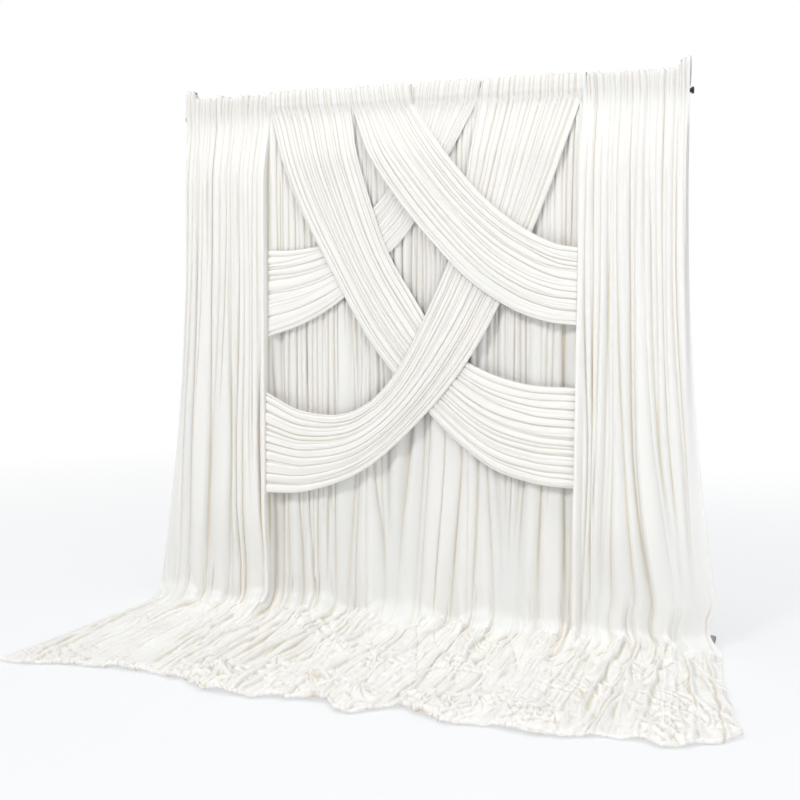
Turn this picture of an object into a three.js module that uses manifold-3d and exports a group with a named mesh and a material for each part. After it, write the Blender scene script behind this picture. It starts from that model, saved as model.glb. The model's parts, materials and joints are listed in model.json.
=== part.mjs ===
// A free-standing curtain wall: two telescopic posts on steel plates carry a crossbar, and a
// back drape, two side drapes and four crossed swags hang from it and trail on the floor.
// Millimetres, +Z up, +X along the crossbar, and the audience looks along +Y.
import * as THREE from "three";
import { mergeVertices } from "three/addons/utils/BufferGeometryUtils.js";
import Module from "manifold-3d";

const wasm = await Module();
wasm.setup();

// Whole frame
const postSpan = 2850;
const crossbarHeight = 3012;
const postRise = 63;

// Fits
const fitGap = 0.3;
const slideGap = 0.4;
const turnGap = 1.5;
const overrun = 6;
const weldDistance = 0.001;

// Base plates
const plateWidth = 450;
const plateDepth = 450;
const plateThickness = 6;
const plateCornerRadius = 28;
const footHeight = 5;
const footRadius = 18;
const footInset = 38;
const footPegRadius = 4;
const footPegHeight = 4;

// Spigot that the post stands on, and the bolt that holds it
const flangeRadius = 45;
const flangeThickness = 6;
const spigotHeight = 200;
const spigotChamfer = 4;
const boltRadius = 6;
const boltHeadRadius = 11;
const boltHeadHeight = 4;
const boltLength = 46;
const boltTipRoom = 2;

// Telescopic posts
const lowerTubeRadius = 25;
const upperTubeRadius = 21;
const tubeWall = 2;
const lowerTubeTop = 1770;
const tubeOverlap = 300;
const bushHeight = 60;
const bushLip = 3;
const capRadius = 22;
const capThickness = 4;
const capPlugLength = 22;

// Collar and screw that lock the two tubes
const collarRadius = 33;
const collarSkirt = 54;
const collarLip = 6;
const bossRadius = 12;
const bossReach = 42;
const studRadius = 4;
const studGrip = 11;
const gripRadius = 22;
const gripThickness = 16;
const gripBevel = 1.5;
const gripLobeCount = 5;
const gripLobeShare = 0.14;

// Bracket that carries the crossbar on the post
const bracketRadius = 27;
const bracketAbove = 33;
const bracketBelow = 122;
const bracketStubLength = 90;
const bracketShoulder = 3;
const bracketBossRadius = 11;
const bracketBossReach = 33;
const bracketScrewDrop = 87;
const bracketGripRadius = 19;
const bracketGripThickness = 14;

// Crossbar
const barRadius = 19;
const barWall = 2;
const barSectionCount = 3;
const joinerLength = 240;
const fixingOffset = 60;
const rivetRadius = 2.7;
const rivetHeadRadius = 5;
const rivetHeadHeight = 1.5;
const rivetTail = 5;
const buttonRadius = 4;
const buttonStand = 4;
const springWidth = 9;
const springThickness = 1;
const springLength = 52;
const springHeel = 8;
const springBend = 3;
const springRise = 9;

// Cloth
const clothThickness = 3;
const openingHalf = 911;
const headerRise = 38;
const headerOverhang = 30;
const seamDrop = 72;
const openDrop = 240;
const cornerRise = 21;
const pocketBore = 24;
const pocketWall = 8;
const pocketRipple = 5;
const hoodWall = 16;
const hoodRoom = 4.5;
const floorFlare = 185;
const flarePower = 1.6;
const floorSplit = 120;
const clothLean = 60;
const drapeClearance = 3;
const seamFold = 12;
const backFold = 28;
const sideFold = 30;
const hemWidth = 9;

// Swags
const swagThickness = 2.5;
const swagDepth = 14;
const swagLayerGap = 0.5;
const swagLayerCount = 4;
const swagTopDrop = 3;
const swagSettleShare = 0.4;

// Trains on the floor
const trainReach = 1430;
const trainFlare = 198;
const trainFold = 16;
const trainHemFold = 9;
const floorClearance = 0.5;
const plateFrontRoom = 30;

// Unevenness of the folds, as shares of a fold's width, a fold's depth and a train's length
const unevenWidthShare = 0.22;
const unevenDepthShare = 0.16;
const unevenTrainFoldShare = 0.2;
const unevenReachShare = 0.05;

// How far the unevenness turns from one column or row of points to the next, in radians
const widthTurn = 2.3;
const depthTurn = 1.7;
const reachTurn = 1.9;
const swellTurn = 2.2;

// Counts
const roundSides = 24;
const smallSides = 12;
const stepsPerLobe = 5;
const cornerSteps = 4;
const backFoldCount = 13;
const sideFoldCount = 5;
const centreTrainFoldCount = 8;
const sideTrainFoldCount = 3;
const stepsPerFold = 4;
const swagStepCount = 14;
const swagPleatCount = 5;

// Derived heights
const postHeight = crossbarHeight + postRise;
const plateBottom = footHeight + fitGap;
const plateTop = plateBottom + plateThickness;
const flangeBottom = plateTop + fitGap;
const flangeTop = flangeBottom + flangeThickness;
const lowerTubeBottom = flangeTop + fitGap;
const upperTubeBottom = lowerTubeTop - tubeOverlap;
const lockHeight = lowerTubeTop - collarSkirt / 2;
const bracketScrewHeight = crossbarHeight - bracketScrewDrop;
const headerTop = crossbarHeight + headerRise;
const seamHeight = crossbarHeight - seamDrop;
const openHeight = seamHeight - openDrop;
const cornerTop = postHeight + cornerRise;

// Derived half widths, and how far the front of each layer of cloth stands from the posts
const headerHalf = postSpan / 2 + headerOverhang;
const floorHalf = headerHalf + floorFlare;
const trainHalf = floorHalf + trainFlare;
const layerPitch = swagDepth + swagLayerGap;
const backFrontPlane = bracketRadius + 2 * seamFold + drapeClearance;
const sideFrontPlane = backFrontPlane + swagLayerCount * layerPitch;
const hemDepth = sideFrontPlane - backFrontPlane + backFold;

// Materials
const finish = (color, roughness, metalness) => () =>
  new THREE.MeshStandardMaterial({ color, roughness, metalness });
const whiteCloth = finish(0xf4f2ec, 0.85, 0);
const blackPaint = finish(0x17181a, 0.45, 0.3);
const blackPlastic = finish(0x121314, 0.5, 0);
const blackRubber = finish(0x1a1a1a, 0.9, 0);
const zincSteel = finish(0xb4b8bc, 0.35, 0.9);
const aluminium = finish(0xc4c7ca, 0.4, 0.9);
const nylon = finish(0xd8d6cc, 0.6, 0);

// Solids

// A closed geometry with its faces turned outwards, whichever way its rings ran.
function facingOut(geometry) {
  const welded = bare(geometry);
  const p = welded.attributes.position;
  const index = wholeFaces(welded.index.array);
  const [a, b, c] = [new THREE.Vector3(), new THREE.Vector3(), new THREE.Vector3()];
  let volume = 0;
  for (let i = 0; i < index.length; i += 3) {
    a.fromBufferAttribute(p, index[i]);
    b.fromBufferAttribute(p, index[i + 1]);
    c.fromBufferAttribute(p, index[i + 2]);
    volume += a.dot(b.cross(c));
  }
  if (volume < 0) {
    for (let i = 0; i < index.length; i += 3) {
      [index[i + 1], index[i + 2]] = [index[i + 2], index[i + 1]];
    }
  }
  welded.setIndex(index);
  welded.computeVertexNormals();
  return welded;
}

// The triangles that still have three corners once shared vertices are merged.
function wholeFaces(index) {
  const faces = [];
  for (let i = 0; i < index.length; i += 3) {
    const [a, b, c] = index.slice(i, i + 3);
    if (a !== b && b !== c && c !== a) faces.push(a, b, c);
  }
  return faces;
}

// Only the positions, with shared vertices merged.
function bare(geometry) {
  const copy = geometry.clone();
  copy.deleteAttribute("normal");
  copy.deleteAttribute("uv");
  return mergeVertices(copy, weldDistance);
}

function toSolid(geometry) {
  const closed = facingOut(geometry);
  return new wasm.Manifold(
    new wasm.Mesh({
      numProp: 3,
      vertProperties: closed.attributes.position.array,
      triVerts: new Uint32Array(closed.index.array),
    }),
  );
}

function toGeometry(solid) {
  const mesh = solid.getMesh();
  const geometry = new THREE.BufferGeometry();
  geometry.setAttribute("position", new THREE.BufferAttribute(mesh.vertProperties, 3));
  geometry.setIndex(new THREE.BufferAttribute(mesh.triVerts, 1));
  geometry.computeVertexNormals();
  return geometry;
}

const cut = (body, ...tools) =>
  toGeometry(tools.reduce((left, tool) => left.subtract(toSolid(tool)), toSolid(body)));
const join = (body, ...more) =>
  toGeometry(more.reduce((left, piece) => left.add(toSolid(piece)), toSolid(body)));

// A profile of [radius, height] pairs turned round Z.
function turned(profile, sides = roundSides) {
  const points = profile.map(([radius, height]) => new THREE.Vector2(radius, height));
  return facingOut(new THREE.LatheGeometry(points, sides).rotateX(Math.PI / 2));
}

// A round bar along Z between two heights.
const rod = (radius, low, high, sides = roundSides) =>
  turned([[0, low], [radius, low], [radius, high], [0, high]], sides);

// A round pipe along Z between two heights.
const pipe = (outer, inner, low, high, sides = roundSides) =>
  turned([[inner, low], [outer, low], [outer, high], [inner, high], [inner, low]], sides);

const alongX = (geometry) => geometry.rotateY(Math.PI / 2);
const alongY = (geometry) => geometry.rotateX(-Math.PI / 2);

// Rings of equal count joined one to the next; each end is closed straight across the ring.
function loft(rings) {
  const count = rings[0].length;
  const positions = rings.flatMap((ring) => ring.flatMap((point) => point.toArray()));
  const faces = [];
  const quad = (a, b, c, d) => faces.push(a, b, c, a, c, d);
  for (let r = 0; r + 1 < rings.length; r += 1) {
    for (let k = 0; k < count; k += 1) {
      const next = (k + 1) % count;
      const [here, there] = [r * count, (r + 1) * count];
      quad(here + k, here + next, there + next, there + k);
    }
  }
  const last = (rings.length - 1) * count;
  for (let k = 0; k + 1 < count / 2; k += 1) {
    const [far, nearFar] = [count - 1 - k, count - 2 - k];
    quad(k, far, nearFar, k + 1);
    quad(last + k, last + k + 1, last + nearFar, last + far);
  }
  const geometry = new THREE.BufferGeometry();
  geometry.setAttribute("position", new THREE.Float32BufferAttribute(positions, 3));
  geometry.setIndex(faces);
  return facingOut(geometry);
}

// Base

function plateOutline() {
  const [x, y] = [plateWidth / 2, plateDepth / 2];
  const shape = new THREE.Shape();
  const corner = (cx, cy, start) =>
    shape.absarc(cx, cy, plateCornerRadius, start, start + Math.PI / 2);
  const [inX, inY] = [x - plateCornerRadius, y - plateCornerRadius];
  corner(inX, inY, 0);
  corner(-inX, inY, Math.PI / 2);
  corner(-inX, -inY, Math.PI);
  corner(inX, -inY, (3 * Math.PI) / 2);
  return shape;
}

const footPlaces = [-1, 1].flatMap((sx) =>
  [-1, 1].map((sy) => [
    sx * (plateWidth / 2 - footInset),
    sy * (plateDepth / 2 - footInset),
    (sy < 0 ? "front" : "back") + (sx < 0 ? "_left" : "_right"),
  ]),
);

function basePlate() {
  const slab = new THREE.ExtrudeGeometry(plateOutline(), {
    depth: plateThickness,
    bevelEnabled: false,
    curveSegments: cornerSteps,
  }).translate(0, 0, plateBottom);
  const hole = (radius) =>
    rod(radius + fitGap, plateBottom - overrun, plateTop + overrun, smallSides);
  const holes = footPlaces.map(([x, y]) => hole(footPegRadius).translate(x, y, 0));
  return cut(slab, hole(boltRadius), ...holes);
}

const rubberFoot = () =>
  turned(
    [
      [0, 0],
      [footRadius, 0],
      [footRadius, footHeight],
      [footPegRadius, footHeight],
      [footPegRadius, footHeight + footPegHeight],
      [0, footHeight + footPegHeight],
    ],
    smallSides,
  );

function spigot() {
  const top = flangeTop + spigotHeight;
  const radius = lowerTubeRadius - tubeWall - fitGap;
  const body = turned([
    [0, flangeBottom],
    [flangeRadius, flangeBottom],
    [flangeRadius, flangeTop],
    [radius, flangeTop],
    [radius, top - spigotChamfer],
    [radius - spigotChamfer, top],
    [0, top],
  ]);
  const tip = footHeight + boltLength + boltTipRoom;
  return cut(body, rod(boltRadius + fitGap, flangeBottom - overrun, tip, smallSides));
}

const baseBolt = () =>
  turned(
    [
      [0, footHeight - boltHeadHeight],
      [boltHeadRadius, footHeight - boltHeadHeight],
      [boltHeadRadius, footHeight],
      [boltRadius, footHeight],
      [boltRadius, footHeight + boltLength],
      [0, footHeight + boltLength],
    ],
    smallSides,
  );

// Posts

// A radial screw hole or stud from the middle of the post towards the back.
const backward = (radius, from, to, height) =>
  alongY(rod(radius, from, to, smallSides)).translate(0, 0, height);

const lowerTube = () =>
  cut(
    pipe(lowerTubeRadius, lowerTubeRadius - tubeWall, lowerTubeBottom, lowerTubeTop),
    backward(studRadius + fitGap, 0, lowerTubeRadius + overrun, lockHeight),
  );

const upperTube = () =>
  pipe(upperTubeRadius, upperTubeRadius - tubeWall, upperTubeBottom, postHeight);

function guideBush() {
  const outer = lowerTubeRadius - tubeWall - fitGap;
  const inner = upperTubeRadius + fitGap;
  const seat = upperTubeBottom - fitGap;
  return turned([
    [upperTubeRadius - tubeWall, seat - bushLip],
    [outer, seat - bushLip],
    [outer, seat + bushHeight],
    [inner, seat + bushHeight],
    [inner, seat],
    [upperTubeRadius - tubeWall, seat],
    [upperTubeRadius - tubeWall, seat - bushLip],
  ]);
}

function postCap() {
  const plug = upperTubeRadius - tubeWall - fitGap;
  const seat = postHeight + fitGap;
  return turned([
    [0, seat - capPlugLength],
    [plug, seat - capPlugLength],
    [plug, seat],
    [capRadius, seat],
    [capRadius, seat + capThickness / 2],
    [capRadius - capThickness / 2, seat + capThickness],
    [0, seat + capThickness],
  ]);
}

function lockCollar() {
  const bore = lowerTubeRadius + fitGap;
  const low = lowerTubeTop - collarSkirt;
  const lip = lowerTubeTop + fitGap;
  const ring = turned([
    [bore, low],
    [collarRadius, low],
    [collarRadius, lip + collarLip],
    [upperTubeRadius + slideGap, lip + collarLip],
    [upperTubeRadius + slideGap, lip],
    [bore, lip],
    [bore, low],
  ]);
  const boss = backward(bossRadius, (bore + collarRadius) / 2, bossReach, lockHeight);
  const hole = backward(studRadius + fitGap, 0, bossReach + overrun, lockHeight);
  return cut(join(ring, boss), hole);
}

// A five-lobed grip that faces along Z from its base, with a blind hole for its stud.
function starGrip(radius, thickness, base) {
  const steps = gripLobeCount * stepsPerLobe;
  const points = Array.from({ length: steps }, (_, k) => {
    const angle = (2 * Math.PI * k) / steps;
    const lobe = 1 - gripLobeShare / 2 + (gripLobeShare / 2) * Math.cos(gripLobeCount * angle);
    const reach = radius * lobe - gripBevel;
    return new THREE.Vector2(reach * Math.cos(angle), reach * Math.sin(angle));
  });
  const body = new THREE.ExtrudeGeometry(new THREE.Shape(points), {
    depth: thickness - 2 * gripBevel,
    bevelThickness: gripBevel,
    bevelSize: gripBevel,
    bevelSegments: 1,
  }).translate(0, 0, base + gripBevel);
  const hole = rod(studRadius + fitGap, base - overrun, base + studGrip, smallSides);
  return cut(body, hole);
}

const screwStud = (base) =>
  rod(studRadius, upperTubeRadius + fitGap, base + studGrip - fitGap, smallSides);

// Bracket, drawn with its stub along +X and its screw along -X

const towardsStub = (radius, from, to, sides) => alongX(rod(radius, from, to, sides));

function bracket() {
  const stubRadius = barRadius - barWall - fitGap;
  const wallMiddle = (upperTubeRadius + bracketRadius) / 2;
  const shoulderEnd = bracketRadius + bracketShoulder;
  const low = crossbarHeight - bracketBelow;
  const high = crossbarHeight + bracketAbove;
  const sleeve = rod(bracketRadius, low, high);
  const shoulder = towardsStub(barRadius, wallMiddle, shoulderEnd);
  const stub = towardsStub(stubRadius, wallMiddle, shoulderEnd + bracketStubLength);
  const boss = towardsStub(bracketBossRadius, -bracketBossReach, -wallMiddle, smallSides);
  return cut(
    join(
      sleeve,
      shoulder.translate(0, 0, crossbarHeight),
      stub.translate(0, 0, crossbarHeight),
      boss.translate(0, 0, bracketScrewHeight),
    ),
    rod(upperTubeRadius + fitGap, low - overrun, high + overrun),
    towardsStub(studRadius + fitGap, -bracketBossReach - overrun, 0, smallSides).translate(
      0,
      0,
      bracketScrewHeight,
    ),
  );
}

// Crossbar, drawn along X through the middle of the frame

const barHalf = postSpan / 2 - bracketRadius - bracketShoulder - fitGap;
const sectionLength = (2 * barHalf - (barSectionCount - 1) * fitGap) / barSectionCount;
const jointPlaces = Array.from(
  { length: barSectionCount - 1 },
  (_, k) => -barHalf + (k + 1) * sectionLength + (k + 0.5) * fitGap,
);

// Each joint is riveted to its outer section and clicks into the one nearer the middle.
const outwardOf = (place) => Math.sign(place) || 1;
const rivetPlaces = jointPlaces.map((place) => place + outwardOf(place) * fixingOffset);
const buttonPlaces = jointPlaces.map((place) => place - outwardOf(place) * fixingOffset);

// Holes through the underside for the rivets and the spring buttons.
const fixingHoles = () => [
  ...rivetPlaces.map((x) =>
    rod(rivetRadius + fitGap, -barRadius - overrun, 0, smallSides).translate(x, 0, 0),
  ),
  ...buttonPlaces.map((x) =>
    rod(buttonRadius + fitGap, -barRadius - overrun, 0, smallSides).translate(x, 0, 0),
  ),
];

function barSection(k) {
  const low = -barHalf + k * (sectionLength + fitGap);
  const body = alongX(pipe(barRadius, barRadius - barWall, low, low + sectionLength));
  return cut(body, ...fixingHoles());
}

const joinerRadius = barRadius - barWall - fitGap;

function joiner(place) {
  const [low, high] = [place - joinerLength / 2, place + joinerLength / 2];
  return cut(alongX(pipe(joinerRadius, joinerRadius - barWall, low, high)), ...fixingHoles());
}

const rivet = () =>
  turned(
    [
      [0, -barRadius - fitGap - rivetHeadHeight],
      [rivetHeadRadius, -barRadius - fitGap - rivetHeadHeight],
      [rivetHeadRadius, -barRadius - fitGap],
      [rivetRadius, -barRadius - fitGap],
      [rivetRadius, -barRadius + rivetTail],
      [0, -barRadius + rivetTail],
    ],
    smallSides,
  );

// The spring lies in the joiner as a narrow V, and the button stands on its lower leg.
function snapButton(outward) {
  const inside = joinerRadius - barWall;
  const lowLeg = -inside + springThickness + fitGap;
  const tip = -outward * springLength;
  const start = outward * springHeel;
  const legs = new THREE.Shape([
    new THREE.Vector2(start, lowLeg),
    new THREE.Vector2(tip, -springThickness),
    new THREE.Vector2(tip, springThickness),
    new THREE.Vector2(start, springRise),
    new THREE.Vector2(start, springRise - springThickness),
    new THREE.Vector2(tip + outward * springBend, 0),
    new THREE.Vector2(start, lowLeg + springThickness),
  ]);
  const leaf = new THREE.ExtrudeGeometry(legs, { depth: springWidth, bevelEnabled: false })
    .translate(0, 0, -springWidth / 2)
    .rotateX(Math.PI / 2);
  const pin = rod(buttonRadius, -barRadius - buttonStand, lowLeg + springThickness, smallSides);
  return join(leaf, pin);
}

// Cloth

const mix = (a, b, share) => a + (b - a) * share;
const leanAt = (z) => clothLean * (1 - z / headerTop);
const flareAt = (z) => floorFlare * (1 - z / headerTop) ** flarePower;

// Rows of points up a hanging drape: shares of the way from its foot to where its folds are
// full, and then the seam.
const rowShares = [0, 0.3, 0.68, 1];
const hangingHeights = [
  ...rowShares.map((share) => mix(floorSplit, openHeight, share)),
  seamHeight,
];

// Round the crossbar: shares of the pocket's half depth and of its height over the seam.
const pocketShares = [
  [-1.15, 0.34],
  [-1.05, 0.68],
  [-0.72, 0.92],
  [-0.25, 1],
  [0.25, 1],
  [0.72, 0.92],
  [1, 0.68],
  [0.7, 0.34],
];

// One upright slice of a hanging drape: up its front, round the pocket and down its back.
// wave is 1 on a fold's crest and -1 between folds, and slope is the fold's rise there.
function hangingRing({ wave, slope, frontPlane, fold, xAt, hood = false, hem = false }) {
  const front = [];
  const back = [];
  const half = clothThickness / 2;
  for (const z of hangingHeights) {
    const open = 1 - Math.max(0, (z - openHeight) / openDrop);
    const depth = mix(seamFold, fold, open);
    const plane = -mix(backFrontPlane, frontPlane, open) - leanAt(z);
    const middle = plane + half + depth * (1 - wave);
    const tilt = Math.hypot(1, slope * depth);
    const shift = hem ? 0 : ((slope * depth) / tilt) * half;
    const reach = hem ? mix(seamFold, hemDepth, open) : 0;
    front.push(new THREE.Vector3(xAt(z) - shift, middle - half / tilt, z));
    back.push(new THREE.Vector3(xAt(z) + shift, middle + half / tilt + reach, z));
  }
  const crest = hood ? cornerTop : headerTop - pocketRipple + wave * pocketRipple;
  const outer = hood ? bracketRadius + hoodWall : pocketBore + pocketWall + wave * pocketRipple;
  const x = xAt(seamHeight);
  const pocket = pocketShares.map(
    ([across, up]) => new THREE.Vector3(x, across * outer, mix(seamHeight, crest, up)),
  );
  return [...front, ...pocket, ...back.reverse()];
}

// Four points to a fold, alternately forward and back, with slightly uneven widths and depths.
function foldColumns(folds) {
  const count = folds * stepsPerFold;
  return Array.from({ length: count + 1 }, (_, k) => {
    const turn = (2 * Math.PI * k) / stepsPerFold;
    const ends = k === 0 || k === count;
    const uneven = ends ? 0 : unevenWidthShare * Math.sin(widthTurn * k);
    const deep = 1 - unevenDepthShare * (1 - Math.sin(depthTurn * k));
    return {
      share: (k + uneven) / count,
      wave: ends ? 0 : Math.sin(turn) * deep,
      slope: ends ? 0 : Math.cos(turn),
    };
  });
}

// The room round the crossbar in the pocket, which hangs on the bar's top.
const barBore = (low, high) =>
  alongX(rod(pocketBore, low, high)).translate(
    0,
    0,
    crossbarHeight + barRadius + fitGap - pocketBore,
  );

function backDrape() {
  const half = openingHalf - fitGap;
  const foldWidth = (2 * half) / backFoldCount;
  const rings = foldColumns(backFoldCount).map(({ share, wave, slope }) =>
    hangingRing({
      wave,
      slope: (slope * Math.PI) / foldWidth,
      frontPlane: backFrontPlane,
      fold: backFold,
      xAt: () => mix(-half, half, share),
    }),
  );
  return cut(loft(rings), barBore(-half - overrun, half + overrun));
}

// side is -1 on the left and 1 on the right.
function sideDrape(side) {
  const start = openingHalf + hemWidth;
  const foldWidth = (headerHalf - start) / sideFoldCount;
  const hoodStart = postSpan / 2 - bracketRadius;
  const rings = foldColumns(sideFoldCount).map(({ share, wave, slope }) =>
    hangingRing({
      wave,
      slope: (side * slope * Math.PI) / foldWidth,
      frontPlane: sideFrontPlane,
      fold: sideFold,
      xAt: (z) => side * mix(start, headerHalf + flareAt(z), share),
      hood: mix(start, headerHalf, share) > hoodStart,
    }),
  );
  // The inner edge is turned back, so the swags end against a flat hem.
  const hem = hangingRing({
    wave: 1,
    slope: 0,
    frontPlane: sideFrontPlane,
    fold: sideFold,
    xAt: () => side * openingHalf,
    hem: true,
  });
  const postRoom = rod(
    bracketRadius + hoodRoom,
    crossbarHeight - bracketBelow - overrun,
    postHeight + fitGap + capThickness + turnGap,
  ).translate((side * postSpan) / 2, 0, 0);
  const ends = [side * (openingHalf - overrun), (side * postSpan) / 2];
  return cut(loft([hem, ...rings]), barBore(Math.min(...ends), Math.max(...ends)), postRoom);
}

// Swags: each edge is a smooth line through shares of the opening's half width and of the
// seam's height. The four lie one over another, layer 0 against the back drape.
const swags = [
  {
    name: "swag_upper_left",
    layers: [0, 0],
    lowerShares: [
      [0.37, 1], [0.21, 0.903], [0.0, 0.782], [-0.19, 0.714],
      [-0.48, 0.633], [-0.74, 0.585], [-1, 0.556],
    ],
    upperShares: [
      [-0.03, 1], [-0.08, 0.9], [-0.2, 0.835], [-0.36, 0.785],
      [-0.6, 0.741], [-0.82, 0.728], [-1, 0.728],
    ],
  },
  {
    name: "swag_lower_right",
    layers: [1, 1],
    lowerShares: [
      [-1, 1], [-0.8, 0.83], [-0.56, 0.69], [-0.27, 0.541],
      [0.1, 0.415], [0.45, 0.325], [0.74, 0.294], [1, 0.287],
    ],
    upperShares: [
      [-0.45, 1], [-0.37, 0.895], [-0.2, 0.74], [-0.02, 0.643],
      [0.19, 0.551], [0.42, 0.503], [0.7, 0.477], [1, 0.472],
    ],
  },
  {
    name: "swag_lower_left",
    layers: [0, 2],
    lowerShares: [
      [1, 1], [0.83, 0.84], [0.6, 0.667], [0.35, 0.52],
      [0.02, 0.395], [-0.33, 0.3], [-0.7, 0.253], [-1, 0.244],
    ],
    upperShares: [
      [0.38, 1], [0.32, 0.87], [0.25, 0.74], [0.1, 0.62],
      [-0.15, 0.478], [-0.42, 0.413], [-0.74, 0.412], [-1, 0.447],
    ],
  },
  {
    name: "swag_upper_right",
    layers: [1.1, 3],
    lowerShares: [
      [-0.44, 1], [-0.31, 0.91], [-0.13, 0.829], [0.11, 0.741],
      [0.36, 0.665], [0.62, 0.614], [0.83, 0.592], [1, 0.586],
    ],
    upperShares: [
      [-0.04, 1], [0.06, 0.957], [0.24, 0.887], [0.42, 0.825],
      [0.6, 0.778], [0.76, 0.748], [0.88, 0.732], [1, 0.725],
    ],
  },
];

function swagEdge(shares) {
  const half = openingHalf - fitGap;
  const top = seamHeight - swagTopDrop;
  return new THREE.CatmullRomCurve3(
    shares.map(([x, z]) => new THREE.Vector3(x * half, 0, z * top)),
    false,
    "centripetal",
  );
}

function swag({ layers, lowerShares, upperShares }) {
  const [lower, upper] = [swagEdge(lowerShares), swagEdge(upperShares)];
  const across = swagPleatCount * 2;
  const pleat = (swagDepth - swagThickness) / 2;
  const rings = Array.from({ length: swagStepCount + 1 }, (_, k) => {
    const along = k / swagStepCount;
    const [low, high] = [lower.getPoint(along), upper.getPoint(along)];
    const layer = mix(...layers, Math.min(1, along / swagSettleShare));
    const front = [];
    const back = [];
    for (let i = 0; i <= across; i += 1) {
      const point = low.clone().lerp(high, i / across);
      const backPlane = -backFrontPlane - leanAt(point.z) - swagLayerGap;
      const middle = backPlane - swagDepth / 2 - layer * layerPitch;
      const y = middle + (i % 2 ? pleat : -pleat);
      front.push(point.clone().setY(y - swagThickness / 2));
      back.push(point.clone().setY(y + swagThickness / 2));
    }
    return [...front, ...back.reverse()];
  });
  return loft(rings);
}

// Trains: the drape bends out of its fall on a quarter round and then lies on the floor.
const bendShares = [0, 1 / 3, 2 / 3, 1];
const runShares = [0.12, 0.34, 0.56, 0.78, 1];

function train({ folds, start, end, middle, fold, rise }) {
  const half = clothThickness / 2;
  const bed = floorClearance + half + trainFold;
  const landing = bed + rise;
  const radius = floorSplit - fitGap - landing;
  const rings = foldColumns(folds).map(({ share, wave }, column) => {
    const upper = [];
    const under = [];
    const put = (x, y, z, ny, nz, depth) => {
      const [cy, cz] = [y + ny * depth * wave, z + nz * depth * wave];
      upper.push(new THREE.Vector3(x, cy + ny * half, cz + nz * half));
      under.push(new THREE.Vector3(x, cy - ny * half, cz - nz * half));
    };
    const shorter = unevenReachShare * (0.5 + 0.5 * Math.sin(reachTurn * column));
    const from = mix(...start, share);
    const to = mix(...end, share);
    for (const bend of bendShares) {
      const [forward, up] = [Math.cos((bend * Math.PI) / 2), Math.sin((bend * Math.PI) / 2)];
      const y = middle - radius * (1 - forward);
      put(from, y, landing + radius * (1 - up), -forward, up, mix(fold, trainFold, bend));
    }
    runShares.forEach((run, row) => {
      const y = mix(middle - radius - plateFrontRoom * run, -trainReach * (1 - shorter), run);
      const swell = 1 - unevenTrainFoldShare * (1 - Math.cos(swellTurn * row + column));
      put(mix(from, to, run), y, bed, 0, 1, mix(trainFold, trainHemFold, run) * swell);
    });
    return [...upper, ...under.reverse()];
  });
  return loft(rings);
}

const centreTrain = () =>
  train({
    folds: centreTrainFoldCount,
    start: [-openingHalf + fitGap, openingHalf - fitGap],
    end: [-openingHalf + fitGap, openingHalf - fitGap],
    middle: -backFrontPlane - leanAt(floorSplit) + backFold,
    fold: backFold,
    rise: 0,
  });
const sideTrain = (side) =>
  train({
    folds: sideTrainFoldCount,
    start: [side * openingHalf, side * (headerHalf + flareAt(floorSplit))],
    end: [side * openingHalf, side * trainHalf],
    middle: -sideFrontPlane - leanAt(floorSplit) + sideFold,
    fold: sideFold,
    rise: plateTop,
  });

// Assembly

const assembly = new THREE.Group();

function add(name, geometry, material, parent = assembly) {
  const mesh = new THREE.Mesh(geometry, material());
  mesh.name = name;
  parent.add(mesh);
  return mesh;
}

for (const side of [-1, 1]) {
  const tag = side < 0 ? "left_" : "right_";
  const post = new THREE.Group();
  post.position.x = (side * postSpan) / 2;
  assembly.add(post);

  add(tag + "base_plate", basePlate(), blackPaint, post);
  for (const [x, y, corner] of footPlaces) {
    const foot = add(tag + "rubber_foot_" + corner, rubberFoot(), blackRubber, post);
    foot.position.set(x, y, 0);
  }
  add(tag + "base_bolt", baseBolt(), zincSteel, post);
  add(tag + "base_spigot", spigot(), blackPaint, post);
  add(tag + "lower_tube", lowerTube(), blackPaint, post);
  add(tag + "lock_collar", lockCollar(), blackPlastic, post);
  const lockBase = bossReach + turnGap;
  const lockGrip = alongY(starGrip(gripRadius, gripThickness, lockBase));
  const lockStud = alongY(screwStud(lockBase));
  add(tag + "lock_knob_grip", lockGrip, blackPlastic, post).position.z = lockHeight;
  add(tag + "lock_knob_stud", lockStud, zincSteel, post).position.z = lockHeight;

  add(tag + "guide_bush", guideBush(), nylon, post);
  add(tag + "upper_tube", upperTube(), blackPaint, post);
  add(tag + "post_cap", postCap(), blackPlastic, post);

  // The bracket's stub points to the middle of the frame, and its screw faces outwards.
  const carrier = new THREE.Group();
  carrier.rotation.z = side < 0 ? 0 : Math.PI;
  post.add(carrier);
  add(tag + "crossbar_bracket", bracket(), blackPaint, carrier);
  const screwBase = bracketBossReach + turnGap;
  const outwards = (geometry) => geometry.rotateY(-Math.PI / 2);
  const screwGrip = outwards(starGrip(bracketGripRadius, bracketGripThickness, screwBase));
  const screw = outwards(screwStud(screwBase));
  add(tag + "bracket_knob_grip", screwGrip, blackPlastic, carrier).position.z = bracketScrewHeight;
  add(tag + "bracket_knob_stud", screw, zincSteel, carrier).position.z = bracketScrewHeight;
}

const crossbar = new THREE.Group();
crossbar.position.z = crossbarHeight;
assembly.add(crossbar);
["left", "middle", "right"].forEach((name, k) =>
  add("crossbar_section_" + name, barSection(k), blackPaint, crossbar),
);
jointPlaces.forEach((place, k) => {
  const tag = place < 0 ? "left_" : "right_";
  add(tag + "crossbar_joiner", joiner(place), aluminium, crossbar);
  const rivetMesh = add(tag + "joiner_rivet", rivet(), aluminium, crossbar);
  rivetMesh.position.x = rivetPlaces[k];
  const button = add(tag + "snap_button", snapButton(outwardOf(place)), zincSteel, crossbar);
  button.position.x = buttonPlaces[k];
});

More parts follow.
